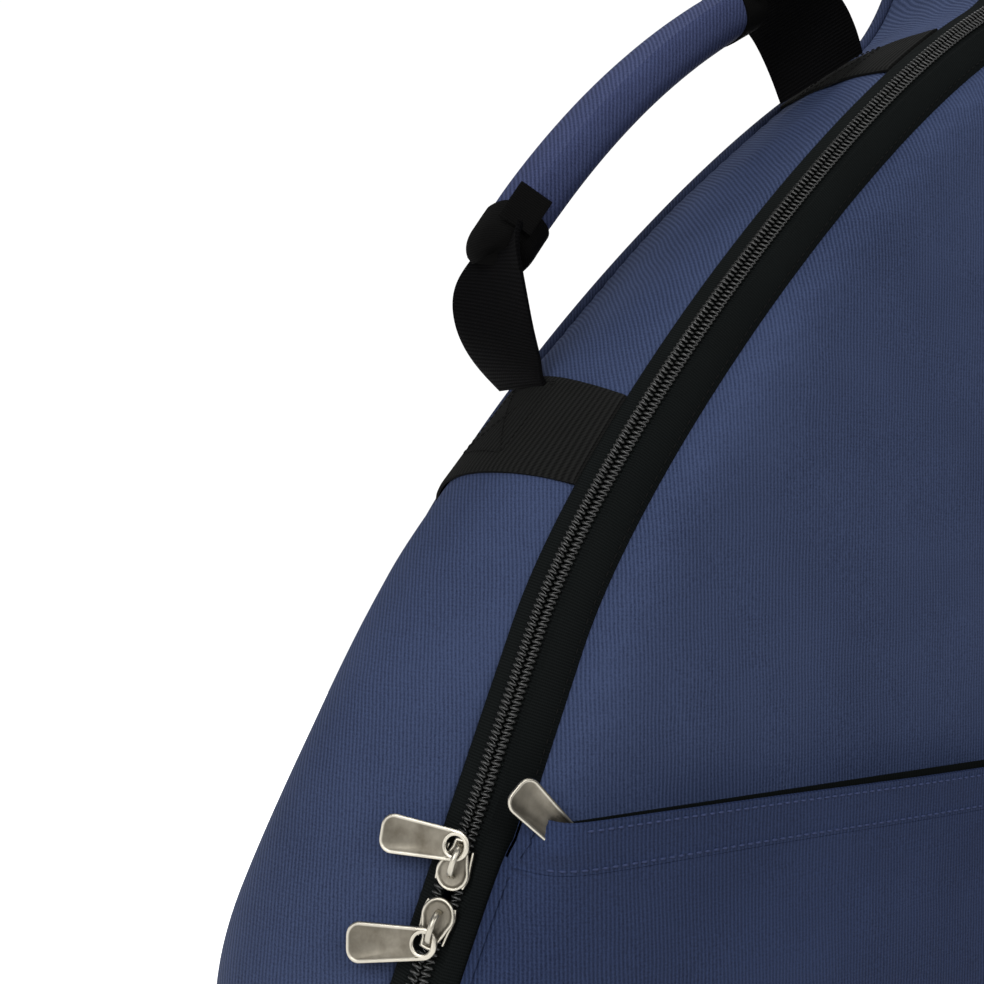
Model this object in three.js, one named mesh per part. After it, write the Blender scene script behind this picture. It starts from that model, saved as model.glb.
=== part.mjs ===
// A padded gig bag for an acoustic guitar, standing upright on its base bumper.
// Millimetres. +Z is up towards the head end, -Y is the front with the lid, and
// the origin is on the ground in the middle of the base.
//
// Almost everything follows the zip line, the closed curve in the X-Z plane that
// the main zip runs along. A point beside it is given by its station on that
// line, by `out`, its distance outwards from the line, and by its depth y.

import * as THREE from 'three';

// ---- driving dimensions -------------------------------------------------

const BASE_Z = 20;             // zip line above the ground, under the bag
const BASE_FLAT = 80;          // half length of its flat bottom stretch
const BOUT_HALF = 222;         // half width at the lower bout
const BOUT_LOW_Z = 150;        // the bout's sides are straight between these
const BOUT_HIGH_Z = 300;
const NECK_HALF = 64;          // half width where the shoulder meets the neck
const NECK_Z = 745;
const HEAD_HALF = 74;          // half width where the head end starts to round
const HEAD_Z = 985;
const TOP_Z = 1092;

const FRONT_Y = -70.5;         // zip coil, middle of its height on the tape
const SIDE_FRONT_Y = -60;      // front edge of the gusset
const BACK_Y = 98;             // back seam at the ground
const BACK_SLOPE = 0.1;        // the back leans forward by this much per mm of height
const SEAM_OUT = 5.3;          // the gusset's front edge stands this far outside the zip line

const GAP = 0.3;
const CLOTH = 2;
const FOAM = 9.6;
const LINING = 1.8;
const LINING_SLACK = 1;        // between the foam and the lining
const WALL = CLOTH + GAP + FOAM + LINING_SLACK + LINING;

const BULGE_MIN = 3;           // how far the gusset swells between its seams
const BULGE_EXTRA = 38.5;      // and how much more at the lower bout
const BULGE_Z = 156;
const BULGE_REACH = 226;
const BULGE_BELOW = 114;

const COIL = 4.9;              // width of one half of the zip chain
const COIL_HEIGHT = 2.5;
const TAPE = 0.8;
const PANEL_OUT = -20;         // edge of the front panel beside the zip tape
const PANEL_BACK_Y = -77.3;
const PANEL_FRONT_Y = -92;

const POCKET_LOW_Z = 235;      // top edge of the pocket at the left side
const POCKET_RISE = 0.35;      // its rise per mm towards the right
const POCKET_LEFT_X = -202;
const POCKET_FRONT_Y = -105.2;
const POCKET_CLOTH = 3;
const HEM = 20;

const WEBBING = 50;            // bands across the gusset
const WEBBING_THICK = 1.6;
const BAND_LOW_Z = 387;        // where the two bands cross the zip line
const BAND_HIGH_Z = 638;

const GRIP_THICK = 26;
const GRIP_WIDE = 38;
const LOOP_REACH = 26;         // hang loop at the head end
const LOOP_RISE = 24;
const LOOP_THICK = 2.5;
const LOOP_WIDE = 25;
const PILLOW = 18;             // depth of the neck rest

const UPPER_SLIDER_Z = 205;
const LOWER_SLIDER_Z = 182;

// ---- colours --------------------------------------------------------------

const BLUE = [0x2b3557, 0.85, 0];
const BLACK = [0x131415, 0.8, 0];
const FOAM_GREY = [0x55585c, 0.95, 0];
const LINING_GREY = [0x2e3136, 0.9, 0];
const RUBBER = [0x1a1a1b, 0.7, 0];
const METAL = [0x8e8b80, 0.35, 1];
const PLASTIC = [0x18191b, 0.5, 0];

// ---- scene helpers ----------------------------------------------------------

const bag = new THREE.Group();

function add(name, geometry, [color, roughness, metalness], parent = bag) {
  const material = new THREE.MeshStandardMaterial({ color, roughness, metalness });
  const mesh = new THREE.Mesh(geometry, material);
  mesh.name = name;
  parent.add(mesh);
  return mesh;
}

function xz(x, z) {
  return new THREE.Vector2(x, z);
}

/** Six times the signed volume, to tell whether the faces point out. */
function signedVolume(position) {
  const [a, b, c] = [new THREE.Vector3(), new THREE.Vector3(), new THREE.Vector3()];
  let total = 0;
  for (let i = 0; i < position.count; i += 3) {
    a.fromBufferAttribute(position, i);
    b.fromBufferAttribute(position, i + 1);
    c.fromBufferAttribute(position, i + 2);
    total += a.dot(b.cross(c));
  }
  return total;
}

/** Moves every vertex by `place`, and turns the faces over if that mirrored them. */
function warp(source, place) {
  const geometry = source.index ? source.toNonIndexed() : source;
  const position = geometry.attributes.position;
  const point = new THREE.Vector3();
  for (let i = 0; i < position.count; i += 1) {
    point.fromBufferAttribute(position, i);
    position.setXYZ(i, ...place(point));
  }
  if (signedVolume(position) < 0) {
    const array = position.array;
    for (let i = 0; i < array.length; i += 9) {
      for (let k = 3; k < 6; k += 1) {
        [array[i + k], array[i + k + 3]] = [array[i + k + 3], array[i + k]];
      }
    }
  }
  geometry.deleteAttribute('uv');
  geometry.computeVertexNormals();
  return geometry;
}

// ---- the zip line ---------------------------------------------------------

/** The left half of the zip line, from the middle of the base to the top. */
function leftHalf() {
  const path = new THREE.CurvePath();
  const bottom = xz(0, BASE_Z);
  const flatEnd = xz(-BASE_FLAT, BASE_Z);
  const boutLow = xz(-BOUT_HALF, BOUT_LOW_Z);
  const boutHigh = xz(-BOUT_HALF, BOUT_HIGH_Z);
  const shoulder = xz(-84, 675);
  const neck = xz(-NECK_HALF, NECK_Z);
  const head = xz(-HEAD_HALF, HEAD_Z);
  const top = xz(0, TOP_Z);
  path.add(new THREE.LineCurve(bottom, flatEnd));
  path.add(new THREE.CubicBezierCurve(flatEnd, xz(-155, BASE_Z), xz(-BOUT_HALF, 65), boutLow));
  path.add(new THREE.LineCurve(boutLow, boutHigh));
  path.add(new THREE.CubicBezierCurve(boutHigh, xz(-BOUT_HALF, 390), xz(-152, 584), shoulder));
  path.add(new THREE.CubicBezierCurve(shoulder, xz(-71, 692), xz(-62.7, 714), neck));
  path.add(new THREE.LineCurve(neck, head));
  path.add(new THREE.CubicBezierCurve(head, xz(-77, 1058), xz(-48, TOP_Z), top));
  return path;
}

const HALF_LINE = leftHalf();
const HALF_LENGTH = HALF_LINE.getLength();
const DIVISIONS = [2, 6, 2, 7, 3, 3, 6];    // facets along each curve of the half line

/** Station `s` is the length along the line from the base: left is positive, right negative. */
function stationAt(s) {
  const side = s < 0 ? -1 : 1;
  const t = THREE.MathUtils.clamp(Math.abs(s) / HALF_LENGTH, 0, 1);
  const point = HALF_LINE.getPoint(t);
  const tangent = HALF_LINE.getTangent(THREE.MathUtils.clamp(t, 0.0005, 0.9995));
  const atEnd = t < 0.001 || t > 0.999;
  const normal = atEnd ? xz(0, t < 0.5 ? -1 : 1) : xz(-tangent.y, tangent.x);
  return { s, x: point.x * side, z: point.y, nx: normal.x * side, nz: normal.y };
}

/** Length along the left half line at which it reaches height z. */
function lengthAtHeight(z) {
  let low = 0;
  let high = HALF_LENGTH;
  for (let i = 0; i < 40; i += 1) {
    const middle = (low + high) / 2;
    if (stationAt(middle).z < z) low = middle;
    else high = middle;
  }
  return low;
}

/** The facet boundaries of the whole line between two stations, and both ends. */
function stationsBetween(from, to) {
  const marks = [];
  let start = 0;
  HALF_LINE.getCurveLengths().forEach((end, curve) => {
    for (let i = 0; i < DIVISIONS[curve]; i += 1) {
      marks.push(start + ((end - start) * i) / DIVISIONS[curve]);
    }
    start = end;
  });
  marks.push(HALF_LENGTH);
  const both = [...marks.map((mark) => -mark).reverse(), ...marks.slice(1)];
  const inside = both.filter((mark) => mark > from + 1 && mark < to - 1);
  return [from, ...inside, to].map(stationAt);
}

function backY(z) {
  return BACK_Y - BACK_SLOPE * z;
}

/** How far the padded gusset swells at height z: most at the wide bout, and little at the base. */
function bulge(z) {
  const above = ((z - BULGE_Z) / BULGE_REACH) ** 2;
  const below = ((BULGE_Z - z) / BULGE_BELOW) ** 4;
  return BULGE_MIN + BULGE_EXTRA * Math.exp(-(z > BULGE_Z ? above : below));
}

/** A point beside the zip line in the bag's own frame. */
function beside(station, out, y) {
  return [station.x + station.nx * out, y, station.z + station.nz * out];
}

/** On the gusset: q runs from -1 at its front edge to 1 at its back edge, `over` stands off it. */
function onGusset(station, over, q, backGap = 5) {
  const rear = backY(station.z) - backGap;
  const y = SIDE_FRONT_Y + ((rear - SIDE_FRONT_Y) * (q + 1)) / 2;
  return beside(station, SEAM_OUT + bulge(station.z) * (1 - q * q) + over, y);
}

/** Stations up the left side from `from`, over the top, and down the right side to `to`. */
function overTop(from, to) {
  return [...stationsBetween(from, HALF_LENGTH), ...stationsBetween(-HALF_LENGTH, to).slice(1)];
}

/**
 * A strip along the zip line. `outline` is its section, and `place` turns a
 * station and a section point into a point of the bag.
 */
function ribbon(outline, stations, place) {
  const steps = stations.length - 1;
  const section = new THREE.Shape(outline.map(([a, b]) => xz(a, b)));
  const straight = new THREE.ExtrudeGeometry(section, { depth: steps, steps, bevelEnabled: false });
  return warp(straight, (p) => place(stations[Math.round(p.z)], p.x, p.y));
}

/**
 * A strip that lies along the gusset between two q, from `under` to `over` its face.
 * Its section is drawn arched, as the gusset is, so that its end faces stay inside it.
 */
function gussetStrip(under, over, stations, from = -1, to = 1) {
  const facets = 4;
  const half = (BACK_Y - SIDE_FRONT_Y) / 2;
  const arch = (q) => BULGE_EXTRA * (1 - q * q);
  const outer = [];
  const inner = [];
  for (let i = 0; i <= facets; i += 1) {
    const q = from + ((to - from) * i) / facets;
    outer.push([over + arch(q), half * q]);
    inner.unshift([under + arch(q), half * q]);
  }
  return ribbon([...outer, ...inner], stations, (station, a, b) => {
    const q = b / half;
    return onGusset(station, a - arch(q), q);
  });
}

/** The area inside the zip line, `out` from it, as points of x and z. */
function areaInside(out) {
  const loop = stationsBetween(-HALF_LENGTH, HALF_LENGTH).slice(1);
  return loop.map((station) => xz(station.x + station.nx * out, station.z + station.nz * out));
}

/** A plate in the X-Z plane from y1 to y2, sloping as the back does where `lean` is set. */
function plate(outline, y1, y2, { lean = 0, holes = [], bevel = 0, rise = bevel / 4 } = {}) {
  const shape = outline instanceof THREE.Shape ? outline : new THREE.Shape(outline);
  shape.holes.push(...holes);
  const depth = y2 - y1 - 2 * rise;
  const flat = new THREE.ExtrudeGeometry(shape, {
    depth,
    steps: 1,
    curveSegments: 6,
    bevelEnabled: bevel > 0,
    bevelThickness: rise,
    bevelSize: bevel,
    bevelOffset: -bevel,
    bevelSegments: 2,
  });
  return warp(flat, (p) => [p.x, y1 + rise + p.z - lean * p.y, p.y]);
}

/** The outline of a strip `wide` across that follows a curve of the X-Z plane. */
function stripOutline(curve, wide, divisions, from = 0, to = 1) {
  const left = [];
  const right = [];
  for (let i = 0; i <= divisions; i += 1) {
    const t = from + ((to - from) * i) / divisions;
    const point = curve.getPoint(t);
    const side = curve.getTangent(t).rotateAround(xz(0, 0), Math.PI / 2).multiplyScalar(wide / 2);
    left.push(point.clone().add(side));
    right.unshift(point.clone().sub(side));
  }
  return [...left, ...right];
}

function roundedRectangle(x1, z1, x2, z2, radius) {
  const shape = new THREE.Shape();
  shape.moveTo(x1 + radius, z1);
  shape.lineTo(x2 - radius, z1);
  shape.quadraticCurveTo(x2, z1, x2, z1 + radius);
  shape.lineTo(x2, z2 - radius);
  shape.quadraticCurveTo(x2, z2, x2 - radius, z2);
  shape.lineTo(x1 + radius, z2);
  shape.quadraticCurveTo(x1, z2, x1, z2 - radius);
  shape.lineTo(x1, z1 + radius);
  shape.quadraticCurveTo(x1, z1, x1 + radius, z1);
  return shape;
}

// ---- shell: back, gusset and linings -------------------------------------------

const CORE_OUT = SEAM_OUT - WALL - 1;      // foam and lining of the two panels end inside the gusset

function addBack() {
  const lean = BACK_SLOPE;
  const cover = areaInside(SEAM_OUT - 3.6);
  const core = areaInside(CORE_OUT);
  const foamY = BACK_Y - CLOTH - GAP - FOAM;
  add('back_panel_cover', plate(cover, BACK_Y - CLOTH / 2, BACK_Y + CLOTH / 2, { lean }), BLUE);
  add('back_panel_foam', plate(core, foamY, foamY + FOAM, { lean }), FOAM_GREY);
  add('back_panel_lining', plate(core, foamY - GAP - LINING, foamY - GAP, { lean }), LINING_GREY);
  const cord = [];
  for (let i = 0; i < 8; i += 1) {
    const angle = (Math.PI * i) / 4;
    cord.push([3 * Math.cos(angle), 3 * Math.sin(angle)]);
  }
  const ring = stationsBetween(-HALF_LENGTH + GAP, HALF_LENGTH - GAP);
  const place = (station, a, b) => beside(station, SEAM_OUT + a, backY(station.z) - 1 + b);
  add('back_piping', ribbon(cord, ring, place), BLACK);
}

function addGusset() {
  const low = lengthAtHeight(70);
  const high = lengthAtHeight(1050);
  const panels = {
    bottom: stationsBetween(-low + GAP, low - GAP),
    left: stationsBetween(low, high),
    right: stationsBetween(-high, -low),
    head: overTop(high + GAP, -high - GAP),
  };
  for (const [panel, stations] of Object.entries(panels)) {
    add(`gusset_${panel}_cover`, gussetStrip(-CLOTH, 0, stations), BLUE);
    // Run the other way, so that the facets of the two layers lie along each other.
    const foam = gussetStrip(-CLOTH - GAP - FOAM, -CLOTH - GAP, [...stations].reverse());
    add(`gusset_${panel}_foam`, foam, FOAM_GREY);
  }
  const ring = stationsBetween(-HALF_LENGTH + GAP, HALF_LENGTH - GAP);
  add('gusset_lining', gussetStrip(-WALL, -WALL + LINING, ring), LINING_GREY);
}

// ---- main zip --------------------------------------------------------------------

const SPLIT = 0.3;             // each half of the chain stays this far from its middle
const SLANT = Math.SQRT1_2;    // the zip turns the corner at 45 degrees
const TAPE_FRONT_Y = FRONT_Y - 6.3;
const CHAIN_TOP = GAP + COIL_HEIGHT;

/** Section point `across` the zip (positive towards the gusset) and `up` from its tape. */
function onZip(across, up) {
  return [(across + up) * SLANT, FRONT_Y + (across - up) * SLANT];
}

function addMainZip() {
  const gussetEdge = SIDE_FRONT_Y - 0.6;
  const outerTape = [
    [SEAM_OUT + 0.3, gussetEdge],
    onZip(SPLIT, 0),
    onZip(SPLIT, -TAPE),
    [SEAM_OUT - 1.4, gussetEdge],
  ];
  const innerTape = [
    onZip(-SPLIT, 0),
    onZip(-SPLIT - COIL, 0),
    [PANEL_OUT - 4, TAPE_FRONT_Y],
    [PANEL_OUT - 4, TAPE_FRONT_Y + TAPE],
    onZip(-SPLIT - COIL, -TAPE),
    onZip(-SPLIT, -TAPE),
  ];
  const hingeCloth = [
    [SEAM_OUT + 0.3, gussetEdge],
    [SEAM_OUT - 5, FRONT_Y],
    [PANEL_OUT + 2, TAPE_FRONT_Y + TAPE],
    [PANEL_OUT + 2, TAPE_FRONT_Y + 2 * TAPE],
    [SEAM_OUT - 6, FRONT_Y + TAPE],
    [SEAM_OUT - 1.4, gussetEdge],
  ];
  // The chain runs from the low end of the cloth hinge, under and round to its high end.
  const hingeLow = lengthAtHeight(BOUT_LOW_Z + 2);
  const hingeHigh = lengthAtHeight(BOUT_HIGH_Z - 2);
  const under = stationsBetween(-hingeLow + GAP, HALF_LENGTH);
  const stations = [...under, ...stationsBetween(-HALF_LENGTH, -hingeHigh - GAP).slice(1)];
  for (const [half, sign, tape] of [['outer', 1, outerTape], ['inner', -1, innerTape]]) {
    const coil = [
      onZip(sign * SPLIT, GAP),
      onZip(sign * (SPLIT + COIL), GAP),
      onZip(sign * (SPLIT + COIL), CHAIN_TOP),
      onZip(sign * SPLIT, CHAIN_TOP),
    ];
    add(`zip_tape_${half}`, ribbon(tape, stations, beside), BLACK);
    add(`zip_coil_${half}`, ribbon(coil, stations, beside), BLACK);
  }
  add('lid_hinge_cloth', ribbon(hingeCloth, stationsBetween(-hingeHigh, -hingeLow), beside), BLACK);
}

/** A slider's frame: X up along the zip, Y across it towards the gusset, Z off its face. */
function sliderGroup(z, turned) {
  const along = new THREE.Vector3(0, 0, 1);
  const across = new THREE.Vector3(-SLANT, SLANT, 0);
  const off = new THREE.Vector3(-SLANT, -SLANT, 0);
  const group = new THREE.Group();
  group.setRotationFromMatrix(new THREE.Matrix4().makeBasis(along, across, off));
  group.position.set(-BOUT_HALF, FRONT_Y, z).addScaledVector(off, CHAIN_TOP);
  if (turned) group.rotateZ(Math.PI);
  bag.add(group);
  return group;
}

const SLIDER_LIFT = 0.4;       // body plate above the chain
const SLIDER_PLATE = 2;
const BAIL_MIDDLE = 1.4;       // the bail's arch along the slider
const BAIL_LEG = 5.9;
const TAB_THICK = 1.8;
const TAB_LENGTH = 31;         // from its eye to the free end
const TAB_HALF = 7.4;          // half its width at the free end
const TAB_CORNER = 3.5;
const EYE_OUTER = 5.6;
const EYE_INNER = 3.7;
const EYE_SHIFT = 1.9;         // the eye hangs off the bail's leg by this much

function sliderPlate() {
  const shape = new THREE.Shape();
  shape.moveTo(10, -3.5);
  shape.lineTo(10, 3.5);
  shape.lineTo(4, 4.2);
  shape.quadraticCurveTo(1.5, 6.6, -3.4, 6.6);
  shape.absarc(-3.4, 0, 6.6, Math.PI / 2, -Math.PI / 2 + 2 * Math.PI, false);
  shape.quadraticCurveTo(1.5, -6.6, 4, -4.2);
  const geometry = new THREE.ExtrudeGeometry(shape, {
    depth: SLIDER_PLATE - 0.8,
    curveSegments: 6,
    bevelSize: 0.4,
    bevelThickness: 0.4,
    bevelOffset: -0.4,
    bevelSegments: 1,
  });
  return geometry.translate(0, 0, SLIDER_LIFT + 0.4);
}

function sliderBail() {
  const [outer, inner, high, low] = [BAIL_LEG + 0.7, BAIL_LEG - 0.7, 5.2, 3.8];
  const shape = new THREE.Shape();
  shape.absellipse(0, 0, outer, high, 0, Math.PI, false);
  shape.absellipse(0, 0, inner, low, Math.PI, 0, true);
  const geometry = new THREE.ExtrudeGeometry(shape, { depth: 2.4, curveSegments: 8, bevelEnabled: false });
  geometry.translate(0, 0, -1.2).rotateX(Math.PI / 2);
  return geometry.translate(BAIL_MIDDLE, 0, SLIDER_LIFT + SLIDER_PLATE + GAP);
}

/** A pull tab that points along Y, turned about the bail's leg in its eye. */
function pullTab(turn) {
  const shape = new THREE.Shape();
  shape.absarc(0, 0, EYE_OUTER, Math.PI, 2 * Math.PI, false);
  shape.lineTo(TAB_HALF, TAB_LENGTH - TAB_CORNER);
  shape.lineTo(TAB_HALF - TAB_CORNER, TAB_LENGTH);
  shape.lineTo(TAB_CORNER - TAB_HALF, TAB_LENGTH);
  shape.lineTo(-TAB_HALF, TAB_LENGTH - TAB_CORNER);
  const eye = new THREE.Path();
  eye.absarc(0, 0, EYE_INNER, 0, 2 * Math.PI, true);
  shape.holes.push(eye);
  const geometry = new THREE.ExtrudeGeometry(shape, {
    depth: TAB_THICK,
    curveSegments: 8,
    bevelEnabled: false,
  });
  return geometry.translate(0, EYE_SHIFT, 0).rotateZ(turn);
}

function addSliders() {
  const sliders = [
    { place: 'upper', z: UPPER_SLIDER_Z, turned: false, droop: 11 },
    { place: 'lower', z: LOWER_SLIDER_Z, turned: true, droop: 21 },
  ];
  for (const { place, z, turned, droop } of sliders) {
    const group = sliderGroup(z, turned);
    add(`slider_${place}_body`, sliderPlate(), METAL, group);
    add(`slider_${place}_bail`, sliderBail(), METAL, group);
    const tab = pullTab(THREE.MathUtils.degToRad(droop + (turned ? 180 : 0)));
    tab.translate(BAIL_MIDDLE + BAIL_LEG, 0, SLIDER_LIFT + SLIDER_PLATE + 0.5);
    add(`pull_tab_${place}`, tab, METAL, group);
  }
}

// ---- lid and pocket ----------------------------------------------------------------

const POCKET_TILT = Math.atan(POCKET_RISE);
const POCKET_TAB_EYE = [-194, -98.7, 227.6];
const POCKET_RIGHT_Z = POCKET_LOW_Z - 2 * POCKET_LEFT_X * POCKET_RISE;

/** A point `along` the pocket's top edge from its left end and `up` from it. */
function onPocketEdge(along, up) {
  return xz(along, up).rotateAround(xz(0, 0), POCKET_TILT).add(xz(POCKET_LEFT_X, POCKET_LOW_Z));
}

/** The part of an outline that is between two distances from the pocket's top edge. */
function pocketSlice(outline, low, high) {
  const above = (p) => p.clone().sub(onPocketEdge(0, 0)).rotateAround(xz(0, 0), -POCKET_TILT).y;
  return [(p) => high - above(p), (p) => above(p) - low].reduce(clip, outline);
}

/** The points of an outline, and of its crossings, where `depth` isn't negative. */
function clip(outline, depth) {
  const kept = [];
  outline.forEach((point, i) => {
    const next = outline[(i + 1) % outline.length];
    const [here, there] = [depth(point), depth(next)];
    if (here >= 0) kept.push(point);
    if (here * there < 0) kept.push(point.clone().lerp(next, here / (here - there)));
  });
  return kept;
}

function addLid() {
  const edge = { bevel: 22, rise: 5.5 };
  add('front_panel_cover', plate(areaInside(PANEL_OUT), PANEL_FRONT_Y, PANEL_BACK_Y, edge), BLUE);
  const core = areaInside(CORE_OUT - 6);
  const foamY = TAPE_FRONT_Y + 3.4;
  add('front_panel_foam', plate(core, foamY, foamY + FOAM - 1), FOAM_GREY);
  const liningY = foamY + FOAM - 1 + GAP;
  add('front_panel_lining', plate(core, liningY, liningY + LINING), LINING_GREY);
}

function addPocket() {
  const area = areaInside(PANEL_OUT - 3);
  const frontY = POCKET_FRONT_Y;
  const pocketBackY = POCKET_FRONT_Y + POCKET_CLOTH;
  add('pocket_panel', plate(pocketSlice(area, -1000, -HEM - GAP), frontY, pocketBackY), BLUE);
  add('pocket_hem', plate(pocketSlice(area, -HEM, 0), frontY, pocketBackY), BLUE);
  const left = lengthAtHeight(POCKET_LOW_Z - HEM);
  const right = lengthAtHeight(POCKET_RIGHT_Z - HEM);
  const wall = [
    [PANEL_OUT - 6, pocketBackY + GAP],
    [PANEL_OUT - 3.5, pocketBackY + GAP],
    [PANEL_OUT - 3.5, PANEL_FRONT_Y - 0.4],
    [PANEL_OUT - 6, PANEL_FRONT_Y - 0.4],
  ];
  add('pocket_wall', ribbon(wall, stationsBetween(-right, left), beside), BLUE);
  const strip = (from, to, low, high) => [
    onPocketEdge(from, low),
    onPocketEdge(to, low),
    onPocketEdge(to, high),
    onPocketEdge(from, high),
  ];
  const tapeY = PANEL_FRONT_Y - 0.4;
  const coilFace = tapeY - 1 - GAP - COIL_HEIGHT;
  add('pocket_zip_tape', plate(strip(8, 398, -34, -7), tapeY - 1, tapeY), BLACK);
  add('pocket_zip_coil', plate(strip(10, 396, -24, -18), coilFace, tapeY - 1 - GAP), BLACK);
  const sliderFace = coilFace - SLIDER_LIFT;
  const slider = plate(strip(12, 30, -27, -16.5), sliderFace - SLIDER_PLATE, sliderFace);
  add('pocket_slider', slider, METAL);
  // Its tab leans out of the pocket's corner, back over the edge of the panel.
  const ahead = new THREE.Vector3(-30, 5.5, 14.5).normalize();
  const off = new THREE.Vector3(0, -1, 0).projectOnPlane(ahead).normalize();
  const across = new THREE.Vector3().crossVectors(ahead, off);
  const tab = pullTab(0).applyMatrix4(new THREE.Matrix4().makeBasis(across, ahead, off));
  add('pocket_pull_tab', tab.translate(...POCKET_TAB_EYE), METAL);
}

// ---- side handle -------------------------------------------------------------------

const HANDLE_Y = -5;           // middle of the handle, half way across the gusset
const STRAP = 45;
const STRAP_THICK = 3;
const BAND_LIFT = 2.4;         // webbing on the gusset stands off its facets by this much

/** Stations of a short strip that starts at length `from` along the line. */
function shortRun(from, length, divisions) {
  return Array.from({ length: divisions + 1 }, (_, i) => stationAt(from + (length * i) / divisions));
}

function addBands() {
  for (const [place, z] of [['lower', BAND_LOW_Z], ['upper', BAND_HIGH_Z]]) {
    const start = lengthAtHeight(z) - WEBBING / 2;
    const band = gussetStrip(BAND_LIFT, BAND_LIFT + WEBBING_THICK, shortRun(start, WEBBING, 3), -0.98, 0.98);
    add(`side_band_${place}`, band, BLACK);
  }
  const above = shortRun(lengthAtHeight(BAND_LOW_Z) + WEBBING / 2 + 1, 11, 1);
  add('handle_anchor_lower', gussetStrip(BAND_LIFT, BAND_LIFT + 2, above, -0.32, 0.32), BLACK);
  const middle = shortRun(lengthAtHeight(BAND_HIGH_Z) - 5, 11, 1);
  const onBand = BAND_LIFT + WEBBING_THICK + GAP;
  add('handle_anchor_upper', gussetStrip(onBand, onBand + 2, middle, -0.42, 0.42), BLACK);
}

const LOW_STRAP = new THREE.CubicBezierCurve(xz(-245, 424), xz(-264, 429), xz(-272, 446), xz(-267, 465));
const GRIP = new THREE.QuadraticBezierCurve(xz(-265, 468), xz(-241, 570), xz(-184, 646));
const HIGH_STRAP = new THREE.CubicBezierCurve(xz(-181, 650), xz(-171, 669), xz(-150, 671), xz(-130, 653));

/** A rounded bar along a curve of the X-Z plane, `thick` in that plane and `wide` along Y. */
function bar(curve, thick, wide, from, to) {
  const section = new THREE.EllipseCurve(0, 0, thick / 2, wide / 2).getPoints(12).slice(1);
  const steps = Math.ceil((to - from) * 8);
  const stations = Array.from({ length: steps + 1 }, (_, i) => from + ((to - from) * i) / steps);
  return ribbon(section.map((p) => [p.x, p.y]), stations, (t, a, b) => {
    const side = curve.getTangent(t).rotateAround(xz(0, 0), Math.PI / 2).multiplyScalar(a);
    const point = curve.getPoint(t).add(side);
    return [point.x, HANDLE_Y + b, point.y];
  });
}

function addHandle() {
  const [y1, y2] = [HANDLE_Y - STRAP / 2, HANDLE_Y + STRAP / 2];
  add('handle_strap_lower', plate(stripOutline(LOW_STRAP, STRAP_THICK, 6), y1, y2), BLACK);
  add('handle_strap_upper', plate(stripOutline(HIGH_STRAP, STRAP_THICK, 6), y1, y2), BLACK);
  add('handle_grip_cover', bar(GRIP, GRIP_THICK, GRIP_WIDE, 0.09, 0.93), BLUE);
  add('handle_end_lower', bar(GRIP, GRIP_THICK + 1, GRIP_WIDE + 1, 0.005, 0.085), BLACK);
  add('handle_end_upper', bar(GRIP, GRIP_THICK + 1, GRIP_WIDE + 1, 0.935, 0.99), BLACK);
}

// ---- base, head end, inside and back -------------------------------------------------

function addBaseAndHead() {
  const bumper = roundedRectangle(-95, -48, 95, 70, 14);
  const geometry = new THREE.ExtrudeGeometry(bumper, {
    depth: 4.5,
    curveSegments: 4,
    bevelSize: 1,
    bevelThickness: 0.75,
    bevelOffset: -1,
    bevelSegments: 1,
  });
  add('base_bumper', geometry.translate(0, 0, 0.75), RUBBER);
  const loop = new THREE.Shape();
  loop.absellipse(0, 0, LOOP_REACH, LOOP_RISE, 0, Math.PI, false);
  loop.absellipse(0, 0, LOOP_REACH - LOOP_THICK, LOOP_RISE - LOOP_THICK, Math.PI, 0, true);
  const middle = (SIDE_FRONT_Y + backY(TOP_Z)) / 2;
  const strap = plate(loop, middle - LOOP_WIDE / 2, middle + LOOP_WIDE / 2);
  add('hang_loop', strap.translate(0, 0, TOP_Z + SEAM_OUT + bulge(TOP_Z) + 1), BLACK);
}

function addInside() {
  const inner = BACK_Y - CLOTH - 2 * GAP - FOAM - LINING - 0.5;
  const lean = BACK_SLOPE;
  const pillow = roundedRectangle(-44, 800, 44, 880, 8);
  add('neck_pillow', plate(pillow, inner - PILLOW, inner, { lean, bevel: 6, rise: 6 }), LINING_GREY);
  const strap = roundedRectangle(-40, 828, 40, 852, 3);
  add('neck_strap', plate(strap, inner - PILLOW - 2.2, inner - PILLOW - 0.5, { lean }), BLACK);
}

function addBackCarry() {
  const lean = BACK_SLOPE;
  const face = BACK_Y + CLOTH / 2 + 0.5;
  const patch = roundedRectangle(-75, 612, 75, 652, 8);
  add('strap_patch', plate(patch, face, face + 3, { lean }), BLACK);
  for (const [side, sign] of [['left', -1], ['right', 1]]) {
    const x = (value) => value * sign;
    const run = new THREE.CubicBezierCurve(
      xz(x(42), 610), xz(x(45), 520), xz(x(98), 470), xz(x(100), 345));
    const pad = stripOutline(run, 62, 8);
    add(`shoulder_pad_${side}`, plate(pad, face, face + 13, { lean, bevel: 6, rise: 5 }), BLUE);
    const lock = roundedRectangle(x(101) - 17, 317, x(101) + 17, 343, 3);
    const slots = [323, 334].map((z) => roundedRectangle(x(101) - 13, z, x(101) + 13, z + 4, 1));
    add(`ladder_lock_${side}`, plate(lock, face, face + 5, { lean, holes: slots }), PLASTIC);
    const tail = new THREE.LineCurve(xz(x(101.5), 312), xz(x(139), 162));
    add(`strap_webbing_${side}`, plate(stripOutline(tail, 25, 2), face, face + 1.6, { lean }), BLACK);
    const foot = new THREE.LineCurve(xz(x(140), 152), xz(x(149), 116));
    add(`strap_anchor_${side}`, plate(stripOutline(foot, 44, 1), face, face + 3, { lean }), BLACK);
  }
}

addBack();
addGusset();
addMainZip();
addSliders();
addLid();
addPocket();
addBands();
addHandle();
addBaseAndHead();
addInside();
addBackCarry();

export default bag;
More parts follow.
